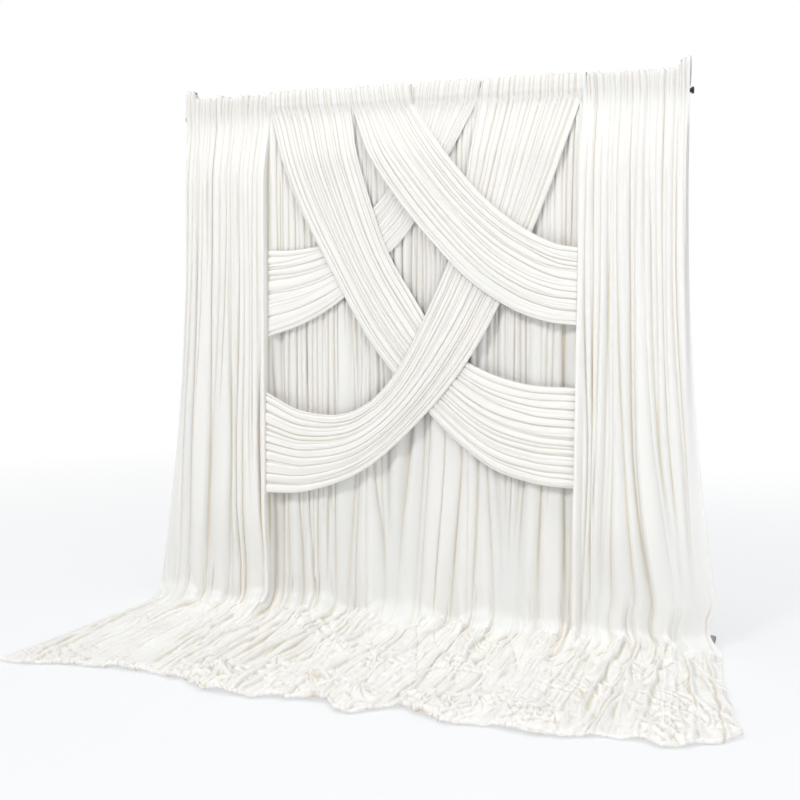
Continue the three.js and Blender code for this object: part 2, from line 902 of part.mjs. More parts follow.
add("back_drape", backDrape(), whiteCloth);
add("side_drape_left", sideDrape(-1), whiteCloth);
add("side_drape_right", sideDrape(1), whiteCloth);
for (const lay of swags) add(lay.name, swag(lay), whiteCloth);
add("train_centre", centreTrain(), whiteCloth);
add("train_left", sideTrain(-1), whiteCloth);
add("train_right", sideTrain(1), whiteCloth);

// The origin is on the floor, under the middle of the whole object.
const extent = new THREE.Box3().setFromObject(assembly);
const centre = extent.getCenter(new THREE.Vector3());
assembly.position.set(-centre.x, -centre.y, -extent.min.z);

export default assembly;
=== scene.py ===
import json
import math

import bmesh
import bpy
import numpy as np
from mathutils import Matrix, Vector


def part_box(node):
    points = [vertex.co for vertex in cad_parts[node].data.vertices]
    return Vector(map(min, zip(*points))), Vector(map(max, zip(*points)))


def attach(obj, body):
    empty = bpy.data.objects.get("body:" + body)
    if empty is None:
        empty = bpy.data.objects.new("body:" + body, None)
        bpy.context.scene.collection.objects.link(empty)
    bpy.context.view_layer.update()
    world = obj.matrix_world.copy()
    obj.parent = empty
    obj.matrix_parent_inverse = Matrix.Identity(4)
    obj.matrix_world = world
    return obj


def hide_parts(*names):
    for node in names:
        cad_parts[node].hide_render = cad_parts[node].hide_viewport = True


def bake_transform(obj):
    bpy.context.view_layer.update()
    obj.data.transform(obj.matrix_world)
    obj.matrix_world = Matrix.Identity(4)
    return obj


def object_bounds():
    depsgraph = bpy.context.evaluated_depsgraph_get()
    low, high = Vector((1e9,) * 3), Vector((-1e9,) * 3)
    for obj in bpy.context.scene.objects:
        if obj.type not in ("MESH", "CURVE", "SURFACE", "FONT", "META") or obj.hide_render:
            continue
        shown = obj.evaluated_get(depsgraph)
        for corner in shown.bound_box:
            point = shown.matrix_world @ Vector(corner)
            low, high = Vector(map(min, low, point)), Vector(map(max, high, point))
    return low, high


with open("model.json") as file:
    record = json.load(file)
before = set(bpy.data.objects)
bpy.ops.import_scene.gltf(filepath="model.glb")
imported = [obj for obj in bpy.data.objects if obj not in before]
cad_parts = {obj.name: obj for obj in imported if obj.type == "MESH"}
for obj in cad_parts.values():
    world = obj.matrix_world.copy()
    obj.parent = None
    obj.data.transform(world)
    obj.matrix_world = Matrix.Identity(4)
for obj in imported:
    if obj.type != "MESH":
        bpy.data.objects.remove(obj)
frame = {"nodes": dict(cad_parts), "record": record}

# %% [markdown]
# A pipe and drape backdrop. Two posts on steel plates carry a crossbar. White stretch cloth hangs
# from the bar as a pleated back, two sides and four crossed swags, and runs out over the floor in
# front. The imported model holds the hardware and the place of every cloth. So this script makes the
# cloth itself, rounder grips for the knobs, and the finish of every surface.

scene = bpy.context.scene
packed_low, packed_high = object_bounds()
print("packed model:", [round(v, 3) for v in (*packed_low, *packed_high)], "m")


def add_object(name, data):
    """A new object with this data, in the scene."""
    made = bpy.data.objects.new(name, data)
    scene.collection.objects.link(made)
    return made


# %% [markdown]
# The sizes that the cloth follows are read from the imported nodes, never typed again: the bar's
# middle, the opening between the side drapes, the seam under the pocket, and how far the cloth
# reaches at its top, at the floor and at its hem.

# %% Sizes from the frame
bar_low, bar_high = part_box("crossbar_section_middle")
bar_y = (bar_low.y + bar_high.y) / 2
bar_z = (bar_low.z + bar_high.z) / 2
post_low, post_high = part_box("right_upper_tube")
post_x = (post_low.x + post_high.x) / 2
plate_low, plate_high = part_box("right_base_plate")
opening_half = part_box("back_drape")[1].x
header_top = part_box("back_drape")[1].z
corner_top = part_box("side_drape_right")[1].z
seam_gap, past_post, foot_flare = 0.003, 0.030, 0.250
seam_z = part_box("swag_upper_left")[1].z + seam_gap
train_half = packed_high.x
header_half = post_x + past_post
floor_half = header_half + foot_flare

# How far before the bar the cloth hangs at the seam and, once it has opened, at the back and the
# sides, how far it leans out down to the floor, and how far under the seam it has opened.
seam_front, back_front, side_front = 0.026, 0.054, 0.112
lean_at_floor, open_drop = 0.060, 0.420

# Half the pocket's depth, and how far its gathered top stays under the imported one, so that its
# ruffle fits in.
pocket_half, ruffle_room = 0.035, 0.006
print("opening", round(2 * opening_half, 3), "m wide, seam at", round(seam_z, 3), "m")

# %% [markdown]
# The camera stands where the photograph was taken from: right of the middle, a little over eye
# height, turned towards the left and slightly down.

# %% Camera
camera_x, camera_ahead, camera_z = 1.928, 5.886, 1.888
turned_left, turned_down = 19.187, 5.568
camera = add_object("camera", bpy.data.cameras.new("camera"))
camera.data.lens = 49.08
camera.data.sensor_width = 36.0
camera.location = (camera_x, bar_y - camera_ahead, camera_z)
camera.rotation_euler = (math.radians(90 - turned_down), 0, math.radians(turned_left))
scene.camera = camera
print("camera", [round(v, 3) for v in camera.location])

# %% [markdown]
# Every cloth here is a grid of points that is worked out as whole arrays. A few small helpers do
# most of the work: a step with soft ends, smooth random hills for whatever has to look uneven,
# and a smooth line through a few chosen points.


# %% Helpers for shapes
def ease(share):
    """0 below 0, 1 above 1, and 3s² - 2s³ between them."""
    s = np.clip(share, 0, 1)
    return s * s * (3 - 2 * s)


def between(a, b, share):
    """The value a share of the way from a to b."""
    return a + (b - a) * share


def hills(u, v, seed):
    """Smooth hills from -1 to 1: random heights on a unit lattice, eased between its points."""
    size = 64
    table = np.random.default_rng(seed).uniform(-1, 1, (size, size))
    i, j = np.floor(u).astype(int), np.floor(v).astype(int)
    a, b = ease(u - i), ease(v - j)
    low, high = (
        between(table[i % size, k % size], table[(i + 1) % size, k % size], a) for k in (j, j + 1)
    )
    return between(low, high, b)


def waves(x, size, seed, row=0):
    """Hills along one line, so many metres from point to point."""
    return hills(x / size, 0 * x + row, seed)


def wandering(at, steps, apart, count, seed, row):
    """(rows, count): hills along each of several lines, which lie so far apart."""
    lines = [hills(at * steps + apart * k, 0 * at + row, seed) for k in range(count)]
    return np.array(lines).T


def smooth_line(points, share):
    """The curve through the points whose slope at each is half the step between its neighbours."""
    p = np.asarray(points, float)
    p = np.concatenate([2 * p[:1] - p[1:2], p, 2 * p[-1:] - p[-2:-1]])
    at = np.asarray(share, float) * (len(p) - 3)
    i = np.clip(np.floor(at).astype(int), 0, len(p) - 4)
    t = (at - i).reshape(-1, *[1] * (p.ndim - 1))
    a, b, c, d = (p[i + k] for k in range(4))
    cubic = (3 * b - a - 3 * c + d) * t**3
    return 0.5 * (2 * b + (c - a) * t + (2 * a - 5 * b + 4 * c - d) * t**2 + cubic)


# %% [markdown]
# Gathered cloth is a row of soft ridges with narrow valleys between them. So a pleated surface is
# a sum of valleys: each has a line that it follows, a depth and a width, and all three change on
# the way down. That is closer to real gathers than a sine wave, whose ridges and valleys are
# alike.


# %% Valleys between pleats
def notch(away):
    """exp(-|away|), rounded off near 0."""
    soft = 0.35
    return np.exp(soft - np.sqrt(away * away + soft * soft))


def valleys(across, lines, depths, widths, leans=None):
    """Sum over the lines of depth · notch, with the line so many widths away. across is
    (rows, columns), and the others are (rows, lines). A leaning valley is steep on one side and
    gentle on the other."""
    total = np.zeros_like(across)
    leans = np.zeros_like(lines) if leans is None else leans
    for line, depth, width, lean in zip(lines.T, depths.T, widths.T, leans.T):
        away = (across - line[:, None]) / width[:, None]
        total += depth[:, None] * notch(away * np.exp(lean[:, None] * np.sign(away)))
    return total


def at_edges(across, width, reach):
    """1 at either edge, fading over the reach."""
    return np.exp(-across / reach) + np.exp(-(width - across) / reach)


def uneven_lines(count, spread, rng):
    """Places from 0 to 1 for valleys, with gaps that vary by the spread."""
    gaps = 1 + spread * rng.uniform(-1, 1, count + 1)
    return np.cumsum(gaps)[:-1] / gaps.sum()


# %% [markdown]
# One function turns a grid of points into a mesh. It also writes what the cloth's material reads:
# a UV map in metres of flat cloth, and shares that say how creased and how deep a point lies, for
# its painted shade, and whether it lies on the floor.


# %% Grid to mesh
cloth_thickness = 0.0012


def cloth_piece(name, points, mirrored, **shares):
    """Quads between neighbouring points of a (rows, columns, 3) grid that face the front, with two
    faces and a rim as cloth has. The shares, from 0 to 1 at every point, are for the material."""
    if mirrored:
        points, shares = points[:, ::-1], {key: share[:, ::-1] for key, share in shares.items()}
    rows, columns = points.shape[:2]
    index = np.arange(rows * columns).reshape(rows, columns)
    corners = (index[:-1, :-1], index[1:, :-1], index[1:, 1:], index[:-1, 1:])
    corners = np.stack(corners, axis=-1).reshape(-1)
    quad_count = len(corners) // 4
    mesh = bpy.data.meshes.new(name)
    mesh.vertices.add(rows * columns)
    mesh.vertices.foreach_set("co", points.astype(np.float32).ravel())
    mesh.loops.add(len(corners))
    mesh.loops.foreach_set("vertex_index", corners.astype(np.int32))
    mesh.polygons.add(quad_count)
    mesh.polygons.foreach_set("loop_start", 4 * np.arange(quad_count, dtype=np.int32))
    mesh.polygons.foreach_set("use_smooth", np.ones(quad_count, bool))
    mesh.update(calc_edges=True)
    across, down = np.diff(points, axis=1), np.diff(points, axis=0)
    u = np.concatenate([[0], np.cumsum(np.linalg.norm(across, axis=2).mean(0))])
    v = np.concatenate([[0], np.cumsum(np.linalg.norm(down, axis=2).mean(1))])
    flat = np.stack(np.broadcast_arrays(u[None, :], -v[:, None]), axis=-1).reshape(-1, 2)
    mesh.uv_layers.new(name="flat").data.foreach_set("uv", flat[corners].astype(np.float32).ravel())
    for label, values in shares.items():
        attribute = mesh.attributes.new(label, "FLOAT", "POINT")
        attribute.data.foreach_set("value", values.astype(np.float32).ravel())
    piece = add_object(name, mesh)
    wall = piece.modifiers.new("cloth thickness", "SOLIDIFY")
    wall.thickness = cloth_thickness
    wall.offset = 0.0
    area = np.linalg.norm(np.cross(across[:-1], down[:, :-1]), axis=2).sum()
    print(name, rows, "x", columns, "points,", 4 * quad_count, "triangles,", round(area, 2), "m2")
    return piece


# %% [markdown]
# The back and the sides are long cloths. From its back seam each goes up behind the bar, over it,
# down the front of the pocket and through the seam. It then falls to the floor, turns forward on a
# round bend, and lies there to its hem. That line is a path in the side view, and every column of
# the cloth follows it. The folds are pushed out from the path, along its normal: forward where the
# cloth hangs and up where it lies.

# %% The path of a drape in the side view
header_rows, hang_rows, bend_rows, floor_rows, hem_rows = 15, 52, 14, 110, 9

# Round the bar: shares of the pocket's half depth backward, and of its height over the seam.
pocket_shares = np.array([
    [-0.55, 0.02], [0.35, 0.12], [0.92, 0.42], [0.98, 0.66], [0.72, 0.9], [0.28, 0.99],
    [-0.34, 1.0], [-0.82, 0.94], [-1.0, 0.70], [-1.02, 0.38], [-1.02, 0.04],
])

# Where the hem lies: x, and how far forward of the bar.
hem_places = np.array([
    [-1.84, 1.39], [-1.66, 1.40], [-1.50, 1.34], [-1.22, 1.31], [-1.05, 1.31], [-0.78, 1.34],
    [-0.63, 1.44], [-0.42, 1.45], [-0.13, 1.39], [0.00, 1.38], [0.07, 1.47], [0.16, 1.48],
    [0.22, 1.42], [0.34, 1.33], [0.44, 1.37], [0.57, 1.44], [0.70, 1.42], [0.97, 1.43],
    [1.10, 1.42], [1.26, 1.36], [1.44, 1.34], [1.51, 1.40], [1.62, 1.35], [1.75, 1.26],
    [1.84, 1.14],
])


def pushed_out(path, offset):
    """The (forward, up) path of each column moved to its outer side by the offset."""
    tangent = np.gradient(path, axis=0)
    normal = np.stack([-tangent[..., 1], tangent[..., 0]], axis=-1)
    normal /= np.maximum(np.linalg.norm(normal, axis=-1, keepdims=True), 1e-9)
    return path + normal * offset[..., None]


def hem_line(x):
    """How far forward of the bar the hem is at x, with small waves of its own."""
    small = 0.010 * waves(x, 0.07, 5, row=3) + 0.006 * waves(x, 0.027, 6)
    return np.interp(x, *hem_places.T) + small


def ruffle(x):
    """How much higher or lower the gathered top of the pocket is at x."""
    return 0.006 * waves(x, 0.028, 50) + 0.004 * waves(x, 0.011, 53)


def plane_at(z, front_plane):
    """How far before the bar the front of the cloth hangs, which leans out towards the floor."""
    opened = ease((seam_z - z) / open_drop)
    under_swags = ease((0.22 * seam_z - z) / 0.4)
    front = between(front_plane, np.minimum(front_plane, back_front + 0.022), under_swags)
    return between(seam_front, front, opened) + lean_at_floor * (1 - z / header_top)


def drape_path(x_floor, front_plane, room, top, depth):
    """(forward, up) of the cloth's innermost line in each column, part by part: the pocket's
    outline, the fall, a quarter circle and the run to the hem."""
    bend = 0.115 + 0.060 * waves(x_floor, 0.20, 21) + 0.022 * waves(x_floor, 0.07, 25)
    pocket = smooth_line(pocket_shares, np.linspace(0, 1, header_rows))
    header = np.stack([-pocket[:, :1] * depth, seam_z + pocket[:, 1:] * (top - seam_z)], axis=-1)
    fall = 1 - (1 - np.linspace(0, 1, hang_rows + 1)[1:, None]) ** 1.35
    z = between(seam_z - 0.004, bend, fall)
    falling = np.stack([plane_at(z, front_plane) - room(z), z], axis=-1)
    angle = np.linspace(0, np.pi / 2, bend_rows + 1)[1:, None]
    turned = falling[-1, :, 0] + bend * (1 - np.cos(angle))
    turn = np.stack([turned, bend * (1 - np.sin(angle))], axis=-1)
    run = np.linspace(0, 1, floor_rows + 1)[1:, None]
    ahead = between(turn[-1, :, 0], hem_line(x_floor), run)
    return np.concatenate([header, falling, turn, np.stack([ahead, 0 * ahead], axis=-1)])


# %% [markdown]
# Where cloth lies on a floor, the broad folds of the hanging part give way to long narrow ridges
# with flat cloth between them. They fan out from the bend, cross at small angles and fade. The
# ridges are laid out once for the whole room, so that neighbouring cloths lie alike where they
# overlap.

# %% Long ridges on the floor
landing, hem_ahead = 0.24, 1.40
ridge_count = 170
ridge_rng = np.random.default_rng(7)
ridge_x = np.sort(ridge_rng.uniform(-floor_half, floor_half, ridge_count))
ridge_drift = ridge_x * (train_half / floor_half - 1) + ridge_rng.normal(0, 0.07, ridge_count)
ridge_drift += 0.20 * waves(ridge_x, 0.42, 12, row=2)
ridge_height = 0.005 + 0.027 * ridge_rng.random(ridge_count) ** 2.2
ridge_height *= between(0.75, 1.0, ease((ridge_x + 1.0) / 0.3))
ridge_width = ridge_rng.uniform(0.004, 0.008, ridge_count) + 0.10 * ridge_height
ridge_lean = ridge_rng.choice([-1, 1, 1], ridge_count)
ridge_born = ridge_rng.uniform(-0.6, 0.5, ridge_count)
ridge_gone = ridge_rng.uniform(0.3, 1.7, ridge_count)


def long_ridges(x, forward):
    """The root of the sum of squares of all ridges, each height · notch, steeper on one side."""
    share = (forward - landing) / (hem_ahead - landing)
    total = 0 * x
    for k in range(ridge_count):
        line = ridge_x[k] + ridge_drift[k] * np.clip(share, 0, 1.3)
        line = line + 0.014 * hills(forward / 0.18 + 3.7 * k, 0 * x + k, 22)
        away = (x - line) / (ridge_width[k] * (1 + 0.5 * np.clip(share, 0, 1)))
        away = np.where(away * ridge_lean[k] > 0, away * 1.7, away * 0.7)
        lasting = ease((share - ridge_born[k]) / 0.1) * ease((ridge_gone[k] - share) / 0.2)
        total += (ridge_height[k] * lasting * notch(away)) ** 2
    return np.sqrt(total)


# %% [markdown]
# Here and there the cloth has been pushed together. Such a bunch is a low crumpled mound: round
# swellings with sharp valleys between them. Most of them lie near the hem.

# %% Bunches
# x, how far forward, radius and height.
bunches = [
    [-1.42, 1.27, 0.07, 0.038], [-1.19, 1.25, 0.09, 0.046], [-1.03, 1.25, 0.07, 0.038],
    [-0.62, 1.24, 0.19, 0.058], [-0.82, 1.07, 0.11, 0.029], [-0.42, 1.02, 0.13, 0.026],
    [-0.15, 1.20, 0.18, 0.055], [0.09, 1.26, 0.10, 0.047], [0.08, 0.80, 0.17, 0.042],
    [-0.18, 0.72, 0.14, 0.029], [0.46, 0.74, 0.14, 0.044], [0.48, 1.24, 0.17, 0.052],
    [0.74, 1.00, 0.13, 0.023], [0.98, 1.24, 0.15, 0.044], [1.15, 0.80, 0.13, 0.034],
    [1.50, 1.20, 0.14, 0.042], [1.62, 0.98, 0.13, 0.036], [1.30, 0.55, 0.12, 0.023],
    [1.76, 1.08, 0.08, 0.031],
    # Where hanging folds come down.
    [-1.30, 0.24, 0.07, 0.018], [-1.06, 0.26, 0.06, 0.014], [-0.66, 0.27, 0.08, 0.022],
    [-0.35, 0.24, 0.07, 0.020], [-0.10, 0.30, 0.09, 0.024], [0.24, 0.26, 0.07, 0.020],
    [0.52, 0.33, 0.09, 0.022], [0.78, 0.25, 0.07, 0.018], [1.08, 0.30, 0.09, 0.024],
    [1.30, 0.31, 0.07, 0.022], [1.52, 0.33, 0.09, 0.026],
]


def billows(u, v, seed):
    """|hills| to the power 0.7: round swellings from 0 to 1 with sharp valleys between them."""
    return np.abs(hills(u, v, seed)) ** 0.7


def bunched(x, forward):
    """The highest of all mounds, height · exp(-r^1.6) with r in radii, crumpled by billows that run
    out from its middle."""
    right = x + 0.03 * hills(x / 0.06, forward / 0.09, 70)
    front = forward + 0.03 * hills(x / 0.06, forward / 0.09, 71)
    total = 0 * x
    for k, (place, ahead, radius, height) in enumerate(bunches):
        r = np.hypot(right - place, front - ahead) / radius
        angle = np.arctan2(front - ahead, right - place)
        rays = billows(2.1 * np.cos(angle) + 5 * k, 2.1 * np.sin(angle) + 0.8 * r, 72)
        patches = billows(right / 0.060 + 5 * k, front / 0.045, 74)
        total = np.maximum(total, height * np.exp(-(r**1.6)) * (0.3 + 0.45 * rays + 0.5 * patches))
    return total * (0.7 + 1.0 * billows(right / 0.045, front / 0.09, 73))


def train_height(x, forward):
    """How high the cloth lies over the floor: long ridges, bunches, swellings and small creases."""
    turn = 0.40 * hills(x / 0.5, forward / 0.9, 13) + 0.22 * ease((x - 0.7) / 0.5)
    a = x - turn * (forward - landing) + 0.012 * hills(x / 0.15, forward / 0.25, 11)
    b = forward + 0.05 * hills(x / 0.2, forward / 0.2, 14)
    out = ease((forward - 0.08) / 0.30)
    calm = between(0.6, 1.0, ease((x + 1.0) / 0.3))
    broad = 0.020 * billows(a / 0.11, b / 0.8, 15)
    skew = billows((a + 0.7 * b) / 0.05, (b - 0.7 * a) / 0.6, 17)
    other = billows((a - 0.8 * b) / 0.045, (b + 0.8 * a) / 0.5, 18)
    crossing = 0.015 * skew * ease(hills(x / 0.3, b / 0.3, 19) * 2)
    crossing = crossing + 0.015 * other * ease(hills(x / 0.25, b / 0.3, 20) * 2)
    rough = ease(0.5 + 1.5 * hills(x / 0.16, b / 0.25, 23))
    small = 0.0034 * billows(a / 0.028, b / 0.32, 16) * (0.15 + 0.85 * rough)
    lying = long_ridges(x, forward) + calm * out * (broad + crossing) + small * (0.4 + 0.6 * out)
    near_hem = ease((forward - hem_line(x) + 0.06) / 0.06)
    return np.hypot(lying * between(1.0, 0.5, near_hem), bunched(x, forward))


def ground_height(x, forward):
    """How high the cloth has to be: just over the floor, or over a base plate and its rim."""
    margin, floor_gap, plate_gap = 0.028, 0.001, 0.0015
    ahead = ease((bar_y - plate_low.y + margin - forward) / margin)
    beside = ease((np.abs(x) - plate_low.x + margin) / margin)
    beside = beside * ease((plate_high.x + margin - np.abs(x)) / margin)
    return floor_gap + (plate_high.z + plate_gap) * ahead * beside


# %% [markdown]
# Two shares tell the cloth's material where to paint shade: how deep a point is between the folds,
# and how sharply it is creased. The second is how far the point lies under the average around it.


# %% Creases of a surface
def blurred(height, rounds):
    """Each row with its columns smoothed so many times."""
    for _ in range(rounds):
        wide = np.pad(height, ((0, 0), (1, 1)), mode="edge")
        height = (wide[:, :-2] + 2 * height + wide[:, 2:]) / 4
    return height


def creases(height, columns_round, rows_round, full):
    """From 0 to 1: the drop under a blurred copy of the height, as a share of a full crease."""
    around = blurred(blurred(height, columns_round).T, rows_round).T
    return np.clip((around - height) / full, 0, 1)


# %% [markdown]
# Now the drape itself. Most of its gathers start in the header. Some run to the floor and grow, and
# the others fade out on the way, as small pleats merge into larger folds. Under them lie slow wide
# folds. The stand-off from the path is one array, the room minus what the folds have sunk, and on
# the bend it changes over to the height of the train.

# %% One long drape
in_header = np.arange(header_rows + hang_rows + bend_rows + floor_rows) < header_rows
bend_start = header_rows + hang_rows
floor_start = bend_start + bend_rows

# The columns of a turned edge, the gap round the bar, how much shade the bend gets, and how far
# round the hem rolls.
turned_columns, bar_gap, bend_shade, hem_turn = 6, 0.003, 5.2, 1.72 * np.pi


def gather(across, width, falling, above, run, gathers, rng, seed):
    """How deep the folds are at each row and column. A line is its start, drawn towards the nearest
    of a few groups, plus its drift, its fan on the floor and its slant over the pocket. Its valley
    gets deeper and wider on the way down, or fades out."""
    down = falling[:, None]
    start = uneven_lines(gathers, 0.75, rng)
    fades = rng.uniform(0.15, 1.6, gathers)
    grown = np.where(fades > 0.9, 1.0, 0.5)
    begins = np.where(rng.random(gathers) < 0.2, rng.uniform(0.02, 0.12, gathers), -1)
    wander = wandering(falling, 3, 7, gathers, 31, seed) + wandering(run, 2, 5, gathers, 33, seed) * 2
    drift = 0.018 * (wander - wander[:1]) * down / width
    low = ease((down - 0.62) / 0.45) + run[:, None]
    fan = low * (0.100 * waves(start, 0.22, 34, row=seed)) / width

    def slant(places):
        """How far a line leans sideways on its way up over the pocket."""
        return 0.009 * above[:, None] * (hills(places * 17, 0 * places + seed, 36) - 0.5) / width

    # Lower down, neighbouring valleys draw together into groups, with smooth cloth between.
    groups = uneven_lines(max(3, gathers // 4), 0.6, rng)
    nearest = groups[np.abs(start[:, None] - groups).argmin(1)]
    pull = rng.uniform(0.2, 0.75, gathers) * ease((down - 0.2) / 0.8)
    lines = start + (nearest - start) * pull + drift + fan + slant(start)
    lasting = 1 - ease((down - fades) / 0.22)
    starting = ease((down - begins) / 0.05)
    strength = 0.45 + rng.random(gathers) ** 1.3
    foot = ease((down - 0.78) / 0.2)
    depths = strength * between(0.009, 0.046 * grown, ease(down * 1.1))
    depths = depths * lasting * starting * (1 + 0.5 * foot)
    depths[in_header] = 0.020 * strength
    narrow = rng.uniform(0.6, 1.6, gathers)
    widths = between(0.0050, 0.0125 * grown, ease(down * 1.05)) * narrow * (1 + 0.3 * foot)
    widths[in_header] = 0.0052 * narrow
    leans = rng.choice([-1, 1], gathers) * rng.uniform(0.2, 0.8, gathers) * ease(down * 1.3)
    sunk = valleys(across, lines * width, depths, widths, leans)

    # Finer ones fill the header and run a little way under the seam.
    count = round(1.3 * gathers)
    fine = uneven_lines(count, 0.8, rng)
    short = rng.uniform(0.03, 0.6, count) ** 1.5
    depths = 0.008 * (1 - ease((down - short) / 0.15)) * rng.random(count)
    depths[in_header] = 0.018 * rng.random(count)
    widths = between(0.0036, 0.006, ease(down * 2)) * np.ones(count)
    lines = fine + 0.006 * hills(down * 5 + fine * 60, fine * 90, 35) / width + slant(fine)
    return sunk + valleys(across, lines * width, depths, widths)


def clear_of_bar(forward, up):
    """Moves the points of the pocket out to a small gap round the bar."""
    radius = (bar_high.z - bar_low.z) / 2 + bar_gap
    away = np.maximum(np.hypot(forward, up - bar_z), 1e-6)
    out = np.where(in_header[:, None], np.maximum(1, radius / away), 1)
    return forward * out, bar_z + (up - bar_z) * out


def roll_hem(x, forward, up, x_floor):
    """Adds the rows in which the hem rolls up and back on itself."""
    angle = np.linspace(0, hem_turn, hem_rows + 1)[1:, None]
    roll = 0.0055 + 0.0045 * (1 + waves(x_floor, 0.05, 51))
    x = np.concatenate([x, np.repeat(x[-1:], hem_rows, axis=0)])
    forward = np.concatenate([forward, forward[-1:] + roll * np.sin(angle)])
    return x, forward, np.concatenate([up, up[-1:] + roll * (1 - np.cos(angle))])


def drape(name, first, last, seed, gathers, columns, side=0, over=(False, False)):
    """One cloth from pocket to hem. first and last give the x of its two edges at a height and a
    share of the run over the floor. over says which edges lie on their neighbours."""
    rng = np.random.default_rng(seed)
    turned = turned_columns if side else 0
    u = np.concatenate([np.zeros(turned), np.linspace(0, 1, columns)])
    returned = np.concatenate([np.linspace(1, 0, turned, endpoint=False), np.zeros(columns)])
    outward = abs(side) * ease((u - 0.25) / 0.7)
    front_plane = between(side_front if side else back_front, back_front + 0.016, outward)
    fold_room = between(0.060 if side else 0.056, 0.040, outward)

    def room(z):
        """The depth that folds may take up: little at the seam, and more and more lower down."""
        deeper = 0.022 * ease((seam_z - z) / 2.0)
        return between(0.012, fold_room + deeper, ease((seam_z - z) / open_drop))

    x_top = between(first(header_top, 0.0), last(header_top, 0.0), u)
    hood = ease((np.abs(x_top) - (post_x - 0.042)) / 0.032)
    top = between(header_top - ruffle_room, corner_top - ruffle_room, hood)
    top = top + ruffle(x_top) * (1 - 0.5 * hood)
    x_floor = between(first(0.0, 1.0), last(0.0, 1.0), u)
    pocket_depth = between(0.0365 if side else pocket_half, 0.040, hood)
    path = drape_path(x_floor, front_plane, room, top, pocket_depth)

    # Where each row is: its height, how far down the fall it is, and how far out on the floor.
    z = path[:, :, 1]
    z_row = z.mean(1)
    falling = np.clip((seam_z - z_row) / (seam_z - 0.1), 0, 1)
    run = np.concatenate([np.zeros(floor_start), np.linspace(0, 1, floor_rows + 1)[1:]])
    edges = np.array([[first(h, r), last(h, r)] for h, r in zip(z_row, run)])
    x = between(edges[:, :1], edges[:, 1:], u)
    width = np.abs(edges[:, 1:] - edges[:, :1])
    across = u * width

    # The folds of the hanging part.
    above = np.clip((z_row - seam_z) / (header_top - seam_z), 0, 1) * in_header
    sunk = gather(across, width, falling, above, run, gathers, rng, seed)
    down = falling[:, None]
    slow = 0.5 + 0.5 * hills(across / 0.085 + seed, down * 1.6, 41)
    slower = 0.5 + 0.5 * hills(across / 0.17 + seed, down * 1.2, 42)
    sunk = sunk + ease(down * 1.1) * (0.020 * slow + 0.026 * slower) + 0.0022 * slow

    # A seam lies in a valley, an edge behind a side drape lies deep, and a turned edge goes back.
    pocket = in_header[:, None]
    beyond = np.abs(x) - opening_half
    limit = np.where(pocket, 0.020, room(z))
    dip = 0 * across
    if not side:
        dip = at_edges(across, width, 0.010) * (~pocket | (np.abs(x) < opening_half - 0.05))
        dip = np.maximum(dip, 0.8 * ease((beyond - 0.010) / 0.012) * ~pocket)
        sunk = sunk * (1 - 0.85 * np.exp(-((beyond / 0.016) ** 2)))
    sunk = limit * np.tanh((sunk + 0.9 * limit * dip) / limit)
    if side:
        sunk = np.where(pocket, sunk, sunk * ease((across - 0.012) / 0.035) + returned * limit)

    # The stand-off. Its folds sink away on the floor, where the train's own height comes in.
    stand = np.where(pocket, 0.005 - sunk, limit - sunk)
    buckled = ease((0.40 - z) / 0.25) * (~in_header * (run < 0.01))[:, None]
    stand = stand - 0.012 * buckled * billows(x / 0.060, z / 0.16, 24) * (stand > 0.02)
    near = [1 - ease((across - 0.03) / 0.03), 1 - ease((width - across - 0.03) / 0.03)]
    lying = train_height(x, path[:, :, 0]) + 0.0018 * (over[0] * near[0] + over[1] * near[1])
    keep = (between(1.0, 0.4, ease(run / 0.18)) * (1 - ease((run - 0.1) / 0.5)))[:, None]
    landed = ease((np.arange(len(path)) - bend_start + 1) / (bend_rows + 3))[:, None]
    stand = stand * keep + lying * landed

    # How creased and how deep each point is, for the painted shade. The bend gets painted shade too.
    fold = creases(stand, 20, 0, 0.0055) ** 1.2
    fold[in_header] = creases(stand, 8, 0, 0.0032)[in_header] ** 0.6
    fold[floor_start:] = 0.9 * creases(stand, 10, 2, 0.0032)[floor_start:] ** 1.2
    if side:
        # The outer edge curls back round the post.
        reach = 0.010 + 0.6 * (width - width[0])
        curled = 0.040 * (1 - ease((width - across) / reach)) * ease((seam_z - 0.1 - z) / 0.2)
        stand = stand - curled * keep
    # Painted shade: deep between the folds, low over the floor, over all the header, and on the bend.
    hollow = between(np.clip(sunk / limit, 0, 1), 0.35 * np.clip(1 - stand / 0.012, 0, 1), landed)
    hollow[in_header] = 0.75 + 0.25 * hollow[in_header]
    hollow = np.maximum(hollow, bend_shade * landed * (1 - landed))
    shares = {"fold": fold, "hollow": hollow, "lying": landed + 0 * fold}
    shares = {key: np.pad(share, ((0, hem_rows), (0, 0)), mode="edge") for key, share in shares.items()}

    forward, up = np.moveaxis(pushed_out(path, stand), -1, 0)
    up = np.maximum(up + 0.0015, ground_height(x, forward))
    x, forward, up = roll_hem(x, *clear_of_bar(forward, up), x_floor)
    if side:
        out = np.concatenate([run, np.ones(hem_rows)])[:, None]
        x = x - side * 0.007 * returned + 0.012 * out * u * hills(forward / 0.11, 0 * x + side, 52)
    return cloth_piece(name, np.stack([x, bar_y - forward, up], axis=-1), side < 0, **shares)


# %% [markdown]
# The back hangs in three widths of cloth that meet in folds. Its outer edges go on a little behind
# the side drapes, so that no gap shows there.

# %% The back in three widths
width_third = opening_half / 3
overlap = 0.012
seam_turns = {-1: 11, 1: -9}


def wavy(run, turns):
    """How far an edge strays sideways on its way over the floor."""
    return 0.030 * run * math.sin(turns * run)


def outer_edge(side):
    """The back's edge at a side, which goes behind the side drape under the seam."""

    def edge(z, run):
        behind = 0.033 * ease((seam_z - z) / 0.12) * (1 - 0.5 * run)
        return side * (opening_half + 0.012 + behind)

    return edge


